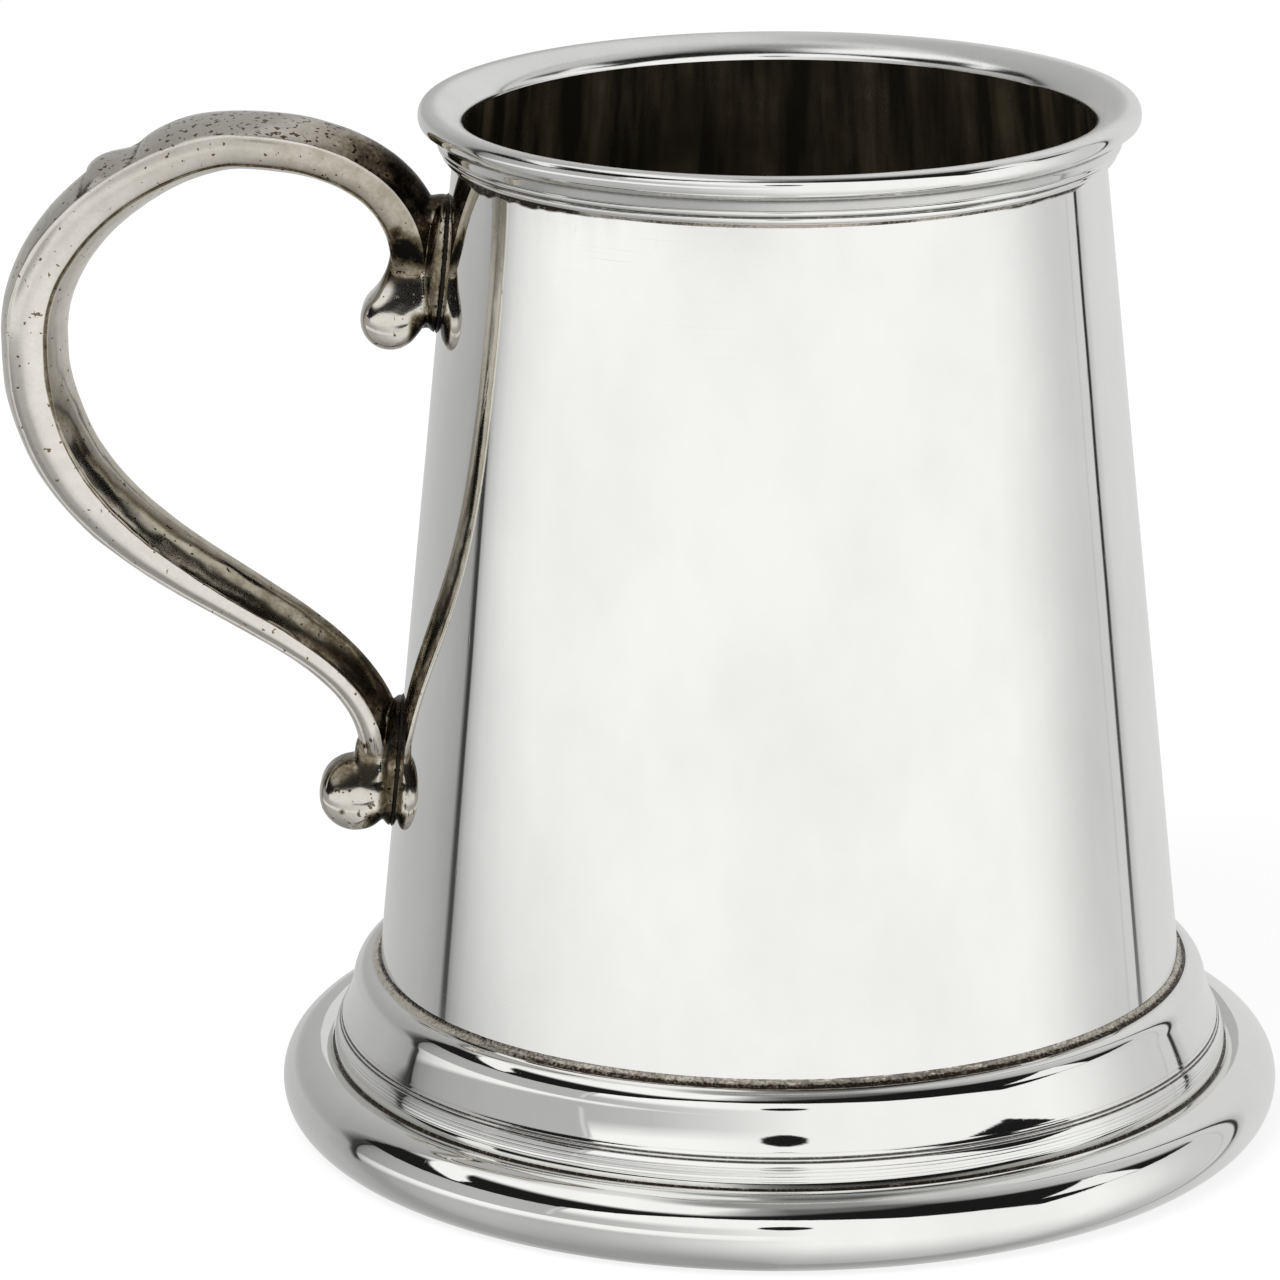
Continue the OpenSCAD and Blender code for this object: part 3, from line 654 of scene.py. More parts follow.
def half_section(t, thick):
    """Half of the strap's section at each station t, from the middle of its back to the middle of its inner
    side: shares of the half width, depths below the back and tarnish, which also carries painted shade and a
    painted dark reflection. In turn they run over the crowned back, the rounded ridge, the bulging side face,
    the groove and the arched inner side."""
    rows = np.zeros((len(t), 1))
    crown = np.linspace(0.0, 1.0, back_points)[None, :] + rows
    ridge = np.radians(np.linspace(0, 90, 6))[None, 1:-1] + rows
    face = np.linspace(0.0, 1.0, 14)[None, :] + rows
    groove = np.linspace(0.0, 1.0, 9)[None, 1:-1] + rows
    arch = np.sin(np.radians(np.linspace(0, 90, 19)))[None, :] + rows
    crown_d, share, turned_off, cut, back, side, near, far = (
        np.interp(t, wear_places, values)[:, None] for values in (
            back_crown, face_share, edge_round, groove_depth,
            back_tarnish_and_reflection, face_tarnish_and_shade, lobe_tarnish, inner_tarnish))
    crown_d = crown_d * MM
    edge = crown_d + 0.32 * MM
    groove_end = share + 0.02 + 0.06 * cut
    widest = 0.45
    above_widest = turned_off * ((face - widest) / widest) ** 2
    below_widest = 0.06 * ((face - widest) / (1.0 - widest)) ** 2
    bulge = np.where(face < widest, above_widest, below_widest)
    brow = 0.985 - turned_off
    in_groove = np.sin(math.pi * groove) ** 2
    y = [
        brow * crown,
        brow + 0.015 * np.sin(ridge),
        1.0 - bulge,
        0.94 - 0.03 * groove - 0.035 * cut * in_groove,
        0.91 * (1.0 - arch) ** 0.62,
    ]
    d = [
        crown_d * crown ** 2,
        crown_d + (edge - crown_d) * (1.0 - np.cos(ridge)),
        edge + (share * thick - edge) * face,
        (share + (groove_end - share) * groove) * thick,
        (groove_end + (1.0 - groove_end) * arch) * thick,
    ]
    # Painted shade: a dark line in the notch at each leaf's tip
    v = t[:, None] - 1.0 - leaf_sweep * (0.93 * crown) ** 2
    tips = sum(np.exp(-((v - end) / leaf_tip_shade) ** 2) for end in leaf_ends)
    mark = [
        np.maximum(back, 0.7 * tips),
        0.3 * back + 0.0 * ridge,
        side + 0.0 * face,
        # The groove is darkened beyond its tarnish: painted shade in the valley
        near + (0.1 + 0.35 * cut - near * 0.2) * in_groove,
        near + (far - near) * arch,
    ]
    return [np.concatenate(part, axis=1) for part in (y, d, mark)]


# The strap runs a little past its first and last key points, into the pads
fine = np.linspace(-0.09, len(strap_keys) - 0.945, 4001)
fine_place = strap_course(fine)[0]
run = np.concatenate([[0.0], np.cumsum(np.linalg.norm(np.diff(fine_place, axis=0), axis=1))])
along = np.linspace(0.0, run[-1], strap_stations)
station = np.interp(along, run, fine)
middle, direction = strap_course(station)
piece_no = np.clip(station.astype(int), 0, len(strap_keys) - 2)
blend = ease(station - piece_no)
half_w = (strap_w[piece_no] + (strap_w[piece_no + 1] - strap_w[piece_no]) * blend)[:, None]
thick = (strap_t[piece_no] + (strap_t[piece_no + 1] - strap_t[piece_no]) * blend)[:, None]
from_end = np.minimum(along, run[-1] - along)
half_w *= 0.42 + 0.58 * ease((from_end + 0.3 * MM) / (8.0 * MM))[:, None]
half_y, half_d, half_mark = half_section(station, thick)
# The leaves lie on the back between the crest and the back bend, and fade out at its edges
on_leaf = ((station >= 1.0) & (station <= 2.0))[:, None] & (np.arange(half_y.shape[1]) < back_points)[None, :]
to_edge = half_y / half_y[:, back_points - 1:back_points]
half_d = half_d - np.where(on_leaf, leaf_lift(station[:, None], half_y) * (1.0 - to_edge ** 4), 0.0)
ring_y = np.hstack([half_y, -half_y[:, -2:0:-1]])
ring_d = np.hstack([half_d, half_d[:, -2:0:-1]])
ring_mark = np.hstack([half_mark, half_mark[:, -2:0:-1]])
rough_cast = soft_noise(*ring_y.shape, 5.0, 2.0, 61) + 0.5 * soft_noise(*ring_y.shape, 2.0, 1.2, 62)
strap_out = thick / 2 - ring_d + rough_cast * 0.018 * MM


def strap_skin(first, last, swell):
    """The strap's rings of points from one station to another, each scaled about the middle line, with both
    ends drawn together to a point."""
    out = strap_out[first:last] * swell[first:last, None]
    points = np.stack([
        middle[first:last, :1] + direction[first:last, 1:] * out,
        ring_y[first:last] * half_w[first:last] * swell[first:last, None],
        middle[first:last, 1:] - direction[first:last, :1] * out,
    ], axis=-1)
    tips = [np.repeat(points[i].mean(axis=0)[None, None, :], points.shape[1], axis=1) for i in (0, -1)]
    return np.concatenate([tips[0], points, tips[1]])


def pulled_ball(start, end, start_r, end_r, half_width, rows=40, columns=48):
    """A ball pulled out along a line from one middle to another while its radius changes: at the angle p
    from the first pole the middle and radius move on with a smooth step of p. start_r and end_r are the
    radii in the XZ plane, and the half width lies across it."""
    p = np.linspace(0.0, math.pi, rows)[:, None]
    q = np.linspace(0.0, 2 * math.pi, columns, endpoint=False)[None, :]
    start, end = np.asarray(start), np.asarray(end)
    axis = (end - start) / np.linalg.norm(end - start)
    share = ease((p / math.pi - 0.2) / 0.6)
    r = start_r + (end_r - start_r) * share
    across = np.cos(q) * np.sin(p)
    x = start[0] + (end[0] - start[0]) * share + r * (-np.cos(p) * axis[0] + across * axis[1])
    z = start[1] + (end[1] - start[1]) * share + r * (-np.cos(p) * axis[1] - across * axis[0])
    return np.stack([x, np.sin(q) * np.sin(p) ** 0.8 * half_width, z], axis=-1)


def out_from_drum(distance, z):
    """A place in the XZ plane at a distance out from the drum's side on the handle's side."""
    return np.array([-drum_r(z) - distance, z])


def scroll_shell(discs, heart, widths, heights, rows=56, columns=144):
    """A scroll end. Its outline in the XZ plane is the outer edge of a row of discs [x, z, radius], seen from
    its heart. At the latitude p the outline is drawn in by cos(p)^0.45, and the surface stands out by the
    half width times sin(p)^0.45, so that the sides are flat with a rounded rim. The half width changes with
    a smooth step from one height to another."""
    q = np.linspace(0.0, 2 * math.pi, columns, endpoint=False)
    away = discs[:, None, :2] - np.asarray(heart)
    ahead = away[..., 0] * np.cos(q) + away[..., 1] * np.sin(q)
    aside = away[..., 0] * np.sin(q) - away[..., 1] * np.cos(q)
    reached = discs[:, None, 2] ** 2 - aside ** 2
    outline = np.where(reached > 0.0, ahead + np.sqrt(np.maximum(reached, 0.0)), 0.0).max(axis=0)[None, :]
    p = np.linspace(-math.pi / 2, math.pi / 2, rows)[:, None]
    drawn_in = np.maximum(np.cos(p), 0.0) ** 0.45 * outline
    x = heart[0] + drawn_in * np.cos(q)[None, :]
    z = heart[1] + drawn_in * np.sin(q)[None, :]
    half = widths[0] + (widths[1] - widths[0]) * ease((heights[0] - z) / (heights[0] - heights[1]))
    return np.stack([x, half * np.sign(p) * np.abs(np.sin(p)) ** 0.45, z], axis=-1)


def cast_end(name, shells, voxel, rubs):
    """Closed shells fused into one skin: a voxel remesh, then smoothing that rounds the corners between them.
    What would lie inside the drum is brought out to the solder bed's surface."""
    lump = bpy.data.objects.new(name, bpy.data.meshes.new(name))
    joined = bmesh.new()
    for points in shells:
        shell = skin(name, points, False, True)
        joined.from_mesh(shell)
        bpy.data.meshes.remove(shell)
    joined.to_mesh(lump.data)
    joined.free()
    bpy.context.collection.objects.link(lump)
    remesh = lump.modifiers.new("fuse", "REMESH")
    remesh.mode = "VOXEL"
    remesh.voxel_size = voxel
    rub = lump.modifiers.new("rub", "SMOOTH")
    rub.factor = 0.5
    rub.iterations = rubs
    fused = bpy.data.meshes.new_from_object(lump.evaluated_get(bpy.context.evaluated_depsgraph_get()))
    bpy.data.objects.remove(lump)
    points = np.empty(len(fused.vertices) * 3, dtype=np.float32)
    fused.vertices.foreach_get("co", points)
    points = points.reshape(-1, 3).astype(float)
    r = np.hypot(points[:, 0], points[:, 1])
    least = drum_r(points[:, 2]) + bed_t
    points[:, :2] *= np.maximum(1.0, least / r)[:, None]
    fused.vertices.foreach_set("co", points.astype(np.float32).ravel())
    return fused, points


# Black spots where the casting's side is pitted, three at each end: distance out from the drum, height and
# radius in mm, and strength
top_mm, low_mm = pad_top_z / MM, pad_low_z / MM
spots = np.array([
    [4.5, top_mm + 2.2, 3.6, 1.1], [3.0, top_mm + 1.2, 2.6, 0.95], [5.6, top_mm + 4.4, 1.6, 0.8],
    [4.1, low_mm + 2.4, 0.5, 0.9], [3.0, low_mm + 6.6, 0.4, 0.8], [6.0, low_mm - 5.0, 0.5, 0.7],
])


def spotted(x, z):
    """Tarnish from the spots, as seen along Y: each is full near its middle and gone at its radius."""
    middles = out_from_drum(spots[:, 0] * MM, spots[:, 1] * MM)
    away = np.hypot(x[..., None] - middles[0], z[..., None] - middles[1]) / (spots[:, 2] * MM)
    return (spots[:, 3] * np.clip(1.25 * (1.0 - away), 0.0, 1.0)).max(axis=-1)


pad_t = 1.7 * MM
bed_edge = 0.12 * MM
# Each pad is a long flattened ball on a thin bed of dark solder: height of its middle, length, half width
pads = {"top": (pad_top_z, 16.2 * MM, 5.2 * MM), "low": (pad_low_z, 15.8 * MM, 4.4 * MM)}
pad_shells = {}
for key, (pad_z, length, half) in pads.items():
    low_z, high_z = pad_z - (length / 2 - half), pad_z + (length / 2 - half)
    shell = pulled_ball(out_from_drum(bed_t, low_z), out_from_drum(bed_t, high_z), half, half, half)
    foot = -drum_r(shell[..., 2]) - bed_t
    shell[..., 0] = foot + (shell[..., 0] - foot) * pad_t / half
    pad_shells[key] = shell
    edge = half + bed_edge
    bed = pulled_ball(out_from_drum(0.0, low_z), out_from_drum(0.0, high_z), edge, edge, edge)
    bed_out = np.clip(3.0 * (-bed[..., 0] - drum_r(bed[..., 2])) / edge, 0.0, 1.0) * bed_t
    bed[..., 0] = -np.sqrt((drum_r(bed[..., 2]) + bed_out) ** 2 - bed[..., 1] ** 2)
    bed_mesh = skin("pad_bed_" + key, bed, False, True, {"grime": 0.5})
    settle("pad_bed_" + key, bed_mesh, [dark_solder], "pad_solder_" + key, 80)
# At its ends the strap's skin shrinks into the fused ends, and further in their core of it shrinks into
# the skin
strap_swell = 1.0 - 0.3 * (1.0 - ease(from_end / (4.0 * MM)))
core_swell = 1.0 - 0.045 * ease((from_end - 0.6 * MM) / (2.0 * MM))
core_stations = 36
cast_voxel = 0.2 * MM
cast_rubs = 10
# The upper scroll curls down and outward from the strap's root, and the lower one is a ball below a neck
curl = np.linspace(0.0, 1.0, 24)[:, None]
curl_ends = [
    out_from_drum(out * MM, pad_top_z + up * MM) for out, up in ((3.1, 1.6), (3.0, -3.4), (5.5, -6.25))]
curl_line = (1 - curl) ** 2 * curl_ends[0] + 2 * curl * (1 - curl) * curl_ends[1] + curl ** 2 * curl_ends[2]
top_discs = np.hstack([curl_line, 3.15 * MM + 0.4 * MM * ease(curl)])
top_heart = curl_line[14]
low_ball = out_from_drum(4.65 * MM, pad_low_z - 3.6 * MM)
low_discs = np.array([
    [*out_from_drum(2.1 * MM, pad_low_z + 3.4 * MM), 2.8 * MM],
    [*out_from_drum(2.4 * MM, pad_low_z + 1.4 * MM), 2.85 * MM],
    [*low_ball, 4.35 * MM],
])
low_heart = low_ball + np.array([0.8, 1.4]) * MM


def ball_by_pad(pad_z, start, end, sizes):
    """A pulled ball between two places, each given in mm out from the drum and up from a pad's middle. sizes
    are its two radii and its half width in mm."""
    places = [out_from_drum(out * MM, pad_z + up * MM) for out, up in (start, end)]
    return pulled_ball(*places, *(size * MM for size in sizes))


# What is cast together at each end of the strap: the pad, the strap's own end, the scroll, the web from
# the scroll to the pad, and the saddle between the strap and the pad's top
scroll_ends = {
    "top": [
        pad_shells["top"],
        strap_skin(0, core_stations, core_swell),
        scroll_shell(top_discs, top_heart, (0.9 * MM, 5.3 * MM),
                     (pad_top_z + 2.3 * MM, pad_top_z - 8.4 * MM)),
        ball_by_pad(pad_top_z, (4.2, -5.5), (0.0, -5.1), (2.5, 2.4, 2.6)),
        ball_by_pad(pad_top_z, (3.4, 5.4), (0.8, 6.8), (2.2, 1.5, 2.6)),
    ],
    "low": [
        pad_shells["low"],
        strap_skin(strap_stations - core_stations, strap_stations, core_swell),
        scroll_shell(low_discs, low_heart, (1.2 * MM, 5.1 * MM),
                     (pad_low_z + 3.4 * MM, pad_low_z - 5.6 * MM)),
        ball_by_pad(pad_low_z, (4.0, -2.4), (0.0, -1.9), (3.0, 2.9, 2.6)),
        ball_by_pad(pad_low_z, (2.4, 4.4), (0.6, 6.2), (1.8, 1.4, 2.4)),
    ],
}
strap_points = strap_skin(0, strap_stations, strap_swell)
ring_station = np.concatenate([[0.0], station, [4.0]])
strap_mark = np.vstack([ring_mark[:1], ring_mark, ring_mark[-1:]])
strap_mark = np.maximum(strap_mark, spotted(strap_points[..., 0], strap_points[..., 2]))
strap_satin = np.interp(ring_station, [0.0, 0.15, 2.4, 3.0, 4.0], [0.6, 1.0, 0.9, 0.45, 0.4])[:, None]
from_back = np.arange(strap_points.shape[1])
from_back = np.minimum(from_back, strap_points.shape[1] - from_back)
strap_pitted = np.interp(ring_station, [0.2, 0.6, 1.2, 1.6], [0.3, 1.0, 1.0, 0.2])[:, None]
strap_pitted = strap_pitted * (from_back < back_points)[None, :]
strap_mesh = skin("handle_casting", strap_points, False, True,
                  {"tarnish_and_shade": strap_mark, "satin": strap_satin, "pitted": strap_pitted})
casting = bmesh.new()
casting.from_mesh(strap_mesh)
bpy.data.meshes.remove(strap_mesh)
for key, shells in scroll_ends.items():
    fused, points = cast_end("scroll", shells, cast_voxel, cast_rubs)
    out = np.hypot(points[:, 0], points[:, 1]) - drum_r(points[:, 2])
    up = points[:, 2] - pads[key][0]
    if key == "top":
        # Brown patina on the pads; on the top pad it lightens upward as a painted highlight
        pad_patina_and_sheen = 0.52 - 0.17 * ease((up - 2.0 * MM) / (3.0 * MM))
    else:
        pad_patina_and_sheen = 0.6 + 0.25 * ease(up / (3.0 * MM))
    pad_patina_and_sheen = pad_patina_and_sheen * ease((2.4 * MM - out) / (0.9 * MM))
    # Painted shade in the hollow under each scroll, next to the pad
    hollow_shade = 0.95 * ease((3.9 * MM - out) / (1.3 * MM)) * ease((-4.4 * MM - up) / (1.4 * MM))
    neck_dirt = 0.5 * ease((up + 3.2 * MM) / (2.0 * MM)) * ease((4.5 * MM - up) / (2.0 * MM))
    neck_dirt = neck_dirt * ease((out - 1.8 * MM) / MM)
    # Painted shade and dark reflection on the strap's back in the saddle above each pad, and over the pad's
    # tip
    saddle_shade = 0.9 * ease((up - 1.5 * MM) / (2.0 * MM)) * ease((out - 1.5 * MM) / (0.6 * MM))
    saddle_shade = np.maximum(saddle_shade, 0.8 * ease((up - 5.6 * MM) / (1.8 * MM)))
    end_mark = np.maximum.reduce([
        pad_patina_and_sheen, saddle_shade, hollow_shade, neck_dirt, spotted(points[:, 0], points[:, 2]),
        np.full(len(points), 0.12)])
    for mark, values in {"tarnish_and_shade": end_mark, "satin": 0.5, "pitted": 0.25}.items():
        layer = fused.attributes.new(mark, "FLOAT", "POINT")
        layer.data.foreach_set("value", np.broadcast_to(values, len(points)).astype(np.float32))
    casting.from_mesh(fused)
    bpy.data.meshes.remove(fused)
handle_mesh = bpy.data.meshes.new("handle_casting")
casting.to_mesh(handle_mesh)
casting.free()


def satin_pewter(name, stages):
    """Cast pewter rubbed to a satin: bright on its faces, going through brown to black as the mark of tarnish
    and painted shade rises, with ragged edges and small casting pits. stages are places and colours along
    that way."""
    material, tree, metal = new_metal(name, 1.0)
    place = stretched(tree, (1.0, 1.0, 1.0))
    tarnish_and_shade = mark_of(tree, "tarnish_and_shade")
    blots = noise(tree, place, 420.0, 4.0, 0.65)
    specks = noise(tree, place, 2100.0, 3.0, 0.6)
    ragged = reckon(tree, "ADD", spread(tree, blots, 0.25, 0.75, -0.35, 0.35),
                    spread(tree, specks, 0.25, 0.75, -0.17, 0.17))
    ragged = reckon(tree, "MULTIPLY", ragged, spread(tree, tarnish_and_shade, 0.2, 0.9, 0.12, 1.0))
    holes = noise(tree, place, 1350.0, 2.0, 0.5)
    more_holes = reckon(tree, "MULTIPLY", mark_of(tree, "pitted"), 0.085)
    pits = spread(tree, reckon(tree, "ADD", holes, more_holes), 0.68, 0.715)
    dark = reckon(tree, "ADD", reckon(tree, "ADD", tarnish_and_shade, ragged), reckon(tree, "MULTIPLY", pits, 0.5))
    ramp = shade(tree, "ShaderNodeValToRGB", {"Fac": dark})
    for stage in stages[1:-1]:
        ramp.color_ramp.elements.new(stage[0])
    for element, (place_at, colour) in zip(ramp.color_ramp.elements, stages):
        element.position = place_at
        element.color = colour
    rough = reckon(tree, "ADD", spread(tree, mark_of(tree, "satin"), 0.0, 1.0, 0.03, 0.20),
                   spread(tree, dark, 0.3, 1.0, 0.0, 0.2))
    height = reckon(tree, "SUBTRACT", reckon(tree, "MULTIPLY", blots, 0.5), pits)
    finish_metal(tree, metal, ramp.outputs["Color"], rough, height, 0.15, 0.12 * MM)
    return material


satin = satin_pewter("satin_pewter", [
    (0.0, (0.82, 0.795, 0.735, 1.0)), (0.3, (0.46, 0.425, 0.35, 1.0)), (0.55, (0.19, 0.152, 0.10, 1.0)),
    (0.8, (0.05, 0.038, 0.023, 1.0)), (1.0, (0.010, 0.009, 0.008, 1.0)),
])
settle("handle_casting", handle_mesh, [satin], "handle", 38)


# The studio: a white table in a white tent. The tent is open above its front wall, where the dark room
# shows, and at the camera's hole. Its light shows only in the metal's reflections, and the table doesn't
# show there.
world = bpy.data.worlds.new("studio")
bpy.context.scene.world = world
world.use_nodes = True
sky = world.node_tree
for node in list(sky.nodes):
    sky.nodes.remove(node)


def seen_rays(tree):
    """1 for the rays that show a surface to the camera, straight, in a reflection or through glass."""
    ray = shade(tree, "ShaderNodeLightPath")
    mirrored = reckon(tree, "MAXIMUM", ray.outputs["Is Glossy Ray"], ray.outputs["Is Transmission Ray"])
    return reckon(tree, "MAXIMUM", ray.outputs["Is Camera Ray"], mirrored)


level = spread(sky, seen_rays(sky), 0.0, 1.0, 0.9, 1.0)
glow = shade(sky, "ShaderNodeBackground", {"Color": (1.0, 1.0, 1.0, 1.0), "Strength": level})
sky.links.new(glow.outputs[0], shade(sky, "ShaderNodeOutputWorld").inputs["Surface"])


def stage_material(name, shadow_share):
    """A surface that shows its grey value to the camera and in reflections, and takes a share of shadow."""
    material = bpy.data.materials.new(name)
    material.use_nodes = True
    tree = material.node_tree
    tree.nodes.remove(tree.nodes["Principled BSDF"])
    grey = shade(tree, "ShaderNodeAttribute", attribute_name="shade").outputs["Color"]
    light = shade(tree, "ShaderNodeEmission", {"Color": grey, "Strength": 1.0})
    plain = shade(tree, "ShaderNodeBsdfDiffuse", {"Color": grey})
    share = reckon(tree, "MULTIPLY", seen_rays(tree), 1.0 - shadow_share)
    both = shade(tree, "ShaderNodeMixShader", {0: share, 1: plain.outputs[0], 2: light.outputs[0]})
    tree.links.new(both.outputs[0], tree.nodes["Material Output"].inputs["Surface"])
    return material


def sheet_of(name, points, material, shades=1.0):
    """A stage sheet over a grid of points, with a grey value at each."""
    mesh = skin(name, points, False, False, {"shade": shades})
    mesh.materials.append(material)
    sheet = bpy.data.objects.new(name, mesh)
    bpy.context.collection.objects.link(sheet)
    return sheet


# The tent's directions are turns from the camera's side, to the right, and rises above level, in degrees.
# Round the wall: how bright it is, with dark folds at both sides, and how high its top edge lies. Over it:
# where the gap to the dark room ends and the roof begins, and how bright the roof is.
wall_turns = [
    -180.0, -156.0, -142.0, -124.0, -116.0, -112.5, -111.5, -110.5, -109.0, -108.3, -106.0,
    -101.0, -95.0, -88.0, -80.0, 75.0, 81.0, 87.0, 92.0, 98.0, 105.0,
    112.0, 116.8, 117.5, 118.2, 122.8, 123.4, 124.8, 125.6, 130.0, 140.0, 180.0]
wall_lights = [
    0.62, 0.57, 0.52, 0.46, 0.40, 0.36, 0.20, 0.05, 0.04, 0.45, 0.62,
    0.78, 0.88, 0.95, 1.0, 1.0, 0.95, 0.90, 0.83, 0.75, 0.68,
    0.65, 0.66, 0.57, 0.67, 0.68, 0.03, 0.03, 0.55, 0.71, 0.73, 0.72]
top_turns = [
    -121.0, -113.0, -100.0, -80.0, -53.0, -52.0, -40.0, -30.0, -20.0, 0.0,
    12.0, 20.0, 30.0, 40.0, 50.0, 57.0, 60.5, 70.0, 82.0, 113.0, 115.0]
top_rises = [
    62.0, 21.5, 21.0, 22.0, 25.5, 27.5, 32.5, 38.5, 42.3, 43.3,
    42.0, 39.8, 34.6, 31.0, 25.5, 19.0, 14.0, 17.0, 21.0, 22.5, 62.0]
gap_turns = [-118.0, -100.0, -80.0, -40.0, -20.0, 0.0, 20.0, 55.0, 70.0, 85.0, 100.0, 113.0]
gap_rises = [40.0, 46.0, 48.0, 48.0, 51.0, 57.0, 63.0, 64.0, 56.0, 46.0, 34.0, 25.0]
roof_turns = [-180.0, -120.0, -100.0, -25.0, -10.0, 5.0, 55.0, 75.0, 100.0, 140.0, 180.0]
roof_lights = [0.65, 0.75, 1.0, 1.0, 0.35, 0.14, 0.12, 0.35, 0.55, 0.62, 0.65]
# In front of it: a pale flap on the right, the lamp on the left and the hole that the camera looks through
flap = np.array([[65.0, 26.0], [87.0, 41.0], [92.0, 40.0], [92.0, 22.0], [82.0, 21.5]])
lamp_stripe = np.array([
    [-85.0, 25.0], [-105.0, 40.0], [-118.0, 49.0], [-98.0, 49.0], [-81.0, 32.0], [-81.0, 25.0]])
hole_middle = (1.5, 20.5)
hole_half = (6.1, 4.7)
room_dark = 0.012


def inside(corners, turn, rise):
    """True where a direction lies inside a convex outline whose corners go clockwise."""
    ahead = np.roll(corners, -1, axis=0) - corners
    beside = [a[0] * (rise - c[1]) - a[1] * (turn - c[0]) for a, c in zip(ahead, corners)]
    return np.all(np.stack(beside) <= 0.0, axis=0)


def tent_light(turn, rise):
    """How bright the tent is in each direction: the wall's own light up to its top edge, then the dark room,
    then the roof's light with a soft step. The flap, the lamp and the camera's hole lie over it."""
    fold = -110.0
    behind_fold = fold + (turn - fold) / (1.0 + 3.0 * ease(rise / 12.0))
    wall = np.interp(np.where(turn < fold, np.maximum(behind_fold, -180.0), turn), wall_turns, wall_lights)
    # The left side is grey above and below the band that the drum mirrors
    left_turns = [fold, -95.0, -75.0, -60.0, -45.0]
    grey_start = np.interp(turn, left_turns, [-5.0, -4.0, -2.6, -1.8, -0.8])
    grey_full = np.interp(turn, left_turns, [-2.0, -1.8, -1.2, -0.6, 0.6])
    grey_high = np.clip((rise - grey_start) / (grey_full - grey_start), 0.0, 1.0)
    grey_high = grey_high * np.interp(rise, [12.0, 22.0], [1.0, 0.0])
    grey_high = np.where(turn < -50.0, np.maximum(grey_high, ease((rise - 2.0) / 6.0)), grey_high)
    grey_low = np.interp(rise, [-90.0, -14.0, -9.0], [0.6, 1.0, 0.0])
    grey_side = np.interp(
        turn, [fold, fold + 1.0, -54.0, -33.0, -19.0, -5.0, 8.0], [0.0, 0.53, 0.52, 0.46, 0.32, 0.14, 0.0])
    wall = wall * (1.0 - grey_side * np.maximum(grey_low, grey_high))
    # A pale seam in the cloth
    wall = np.where((np.abs(turn + 52.0) < 0.6) & (rise > 3.0), 0.70, wall)
    # Further down it darkens, though not below a third of full light
    wall = wall * np.interp(
        rise, [-90.0, -75.0, -60.0, -45.0, -30.0, -22.0], [0.42, 0.5, 0.62, 0.8, 0.95, 1.0])
    wall = np.maximum(wall, 0.34 * ease((-11.0 - rise) / 5.0))
    roof = np.interp(turn, roof_turns, roof_lights)
    roof = roof + (0.3 - roof) * ease((rise - 72.0) / 10.0)
    roof_share = ease((rise - np.interp(turn, gap_turns, gap_rises) + 4.0) / 8.0)
    over = room_dark + (roof - room_dark) * roof_share
    light = np.where(rise < np.interp(turn, top_turns, top_rises), wall, over)
    light = np.where(inside(flap, turn, rise), 0.95, light)
    light = np.where(inside(lamp_stripe, turn, rise), 1.0, light)
    hole = np.hypot((turn - hole_middle[0]) / hole_half[0], (rise - hole_middle[1]) / hole_half[1]) < 1.0
    return np.where(hole, room_dark, light)


table_half = 2.5
span = np.linspace(-table_half, table_half, 3)
table_points = np.stack(np.meshgrid(span, span, [0.0], indexing="ij"), axis=-1)[:, :, 0, :]
table = sheet_of("table", table_points, stage_material("white_table", 0.2))
table.visible_glossy = False
tent_r = 6.0
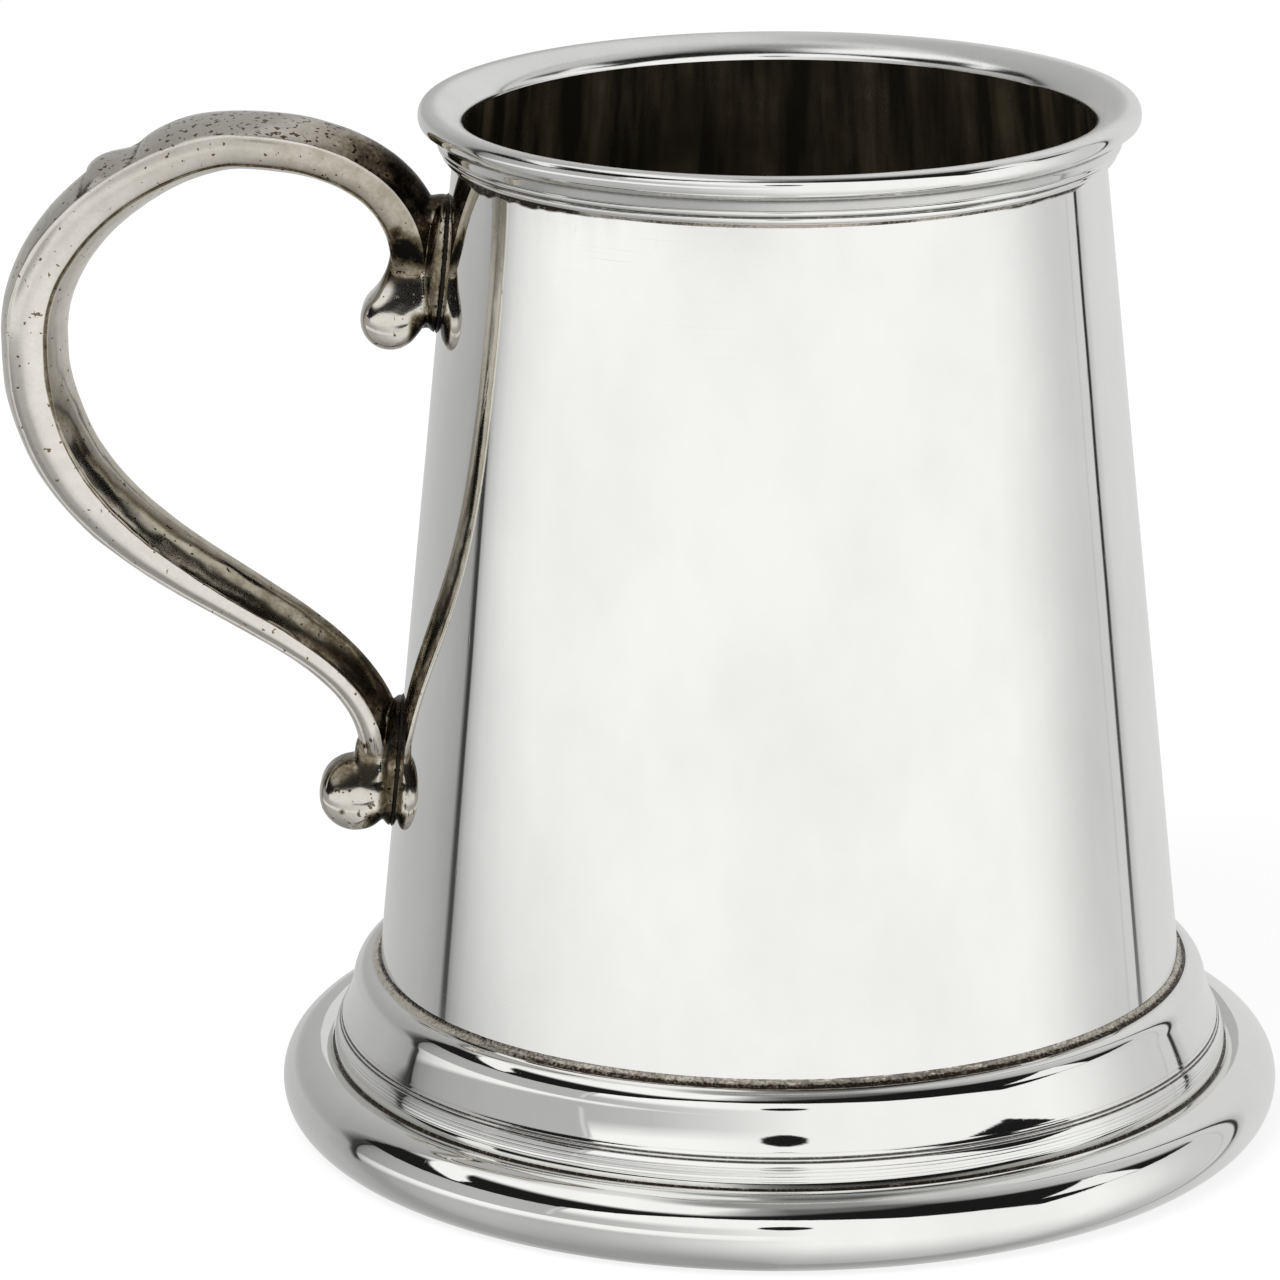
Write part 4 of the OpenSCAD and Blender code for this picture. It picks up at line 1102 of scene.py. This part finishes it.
# The grid is finest at the folds, at the band's upper edge and from the wall's top to the roof
tent_turn = np.unique(np.concatenate([
    np.linspace(-180.0, 180.0, 361), np.linspace(-113.0, -107.0, 25), np.linspace(116.0, 127.0, 45),
]))[:, None]
tent_rise = np.concatenate([
    np.linspace(-90.0, -30.0, 13)[:-1], np.linspace(-30.0, -5.0, 11)[:-1], np.linspace(-5.0, 2.5, 16)[:-1],
    np.linspace(2.5, 10.0, 4)[:-1], np.linspace(10.0, 60.0, 101)[:-1], np.linspace(60.0, 90.0, 13),
])[None, :]
turn_rad, rise_rad = np.radians(tent_turn), np.radians(tent_rise)
tent_points = tent_r * np.stack([
    np.sin(turn_rad) * np.cos(rise_rad), -np.cos(turn_rad) * np.cos(rise_rad),
    np.sin(rise_rad) + 0.0 * turn_rad], axis=-1)
tent = sheet_of("tent", tent_points, stage_material("tent_cloth", 0.0), tent_light(tent_turn, tent_rise))
tent.visible_camera = False
tent.visible_shadow = False
tent.visible_diffuse = False
tent.visible_transmission = False


# The lamp: one broad soft box high in front of the tankard, a little to the left. It lights the table, the
# solder and the stained inside. The metal doesn't mirror it, because the tent's own lamp shows there.
lamp = bpy.data.objects.new("soft_box", bpy.data.lights.new("soft_box", "AREA"))
lamp.data.size = 0.5
lamp.data.energy = 6.0
lamp.location = (-0.35, -0.55, 0.9)
lamp.rotation_euler = (math.radians(35), 0.0, math.radians(-32))
lamp.visible_glossy = False
bpy.context.collection.objects.link(lamp)


# The camera: a long lens that looks down on the rim, nearly square to the handle's plane. Its place and its
# angles follow from the photo's ellipses, in mm, pixels and degrees.
lens_px = 6895.5
image_px = 1280.0
eye = np.array([0.0, -785.4, 287.7]) * MM
pitch, yaw, roll = math.radians(16.311), math.radians(-1.204), math.radians(-0.311)
ahead = np.array([math.sin(yaw) * math.cos(pitch), math.cos(yaw) * math.cos(pitch), -math.sin(pitch)])
right = np.array([math.cos(yaw), -math.sin(yaw), 0.0])
above = np.cross(right, ahead)
rolled_right = math.cos(roll) * right + math.sin(roll) * above
rolled_above = math.cos(roll) * above - math.sin(roll) * right
camera = bpy.data.objects.new("camera", bpy.data.cameras.new("camera"))
camera.data.sensor_width = 36.0
camera.data.lens = lens_px / image_px * camera.data.sensor_width
pose = np.eye(4)
pose[:3, :] = np.stack([rolled_right, rolled_above, -ahead, eye], axis=1)
camera.matrix_world = Matrix(pose.tolist())
bpy.context.collection.objects.link(camera)
bpy.context.scene.camera = camera
bpy.context.scene.view_settings.view_transform = "Standard"
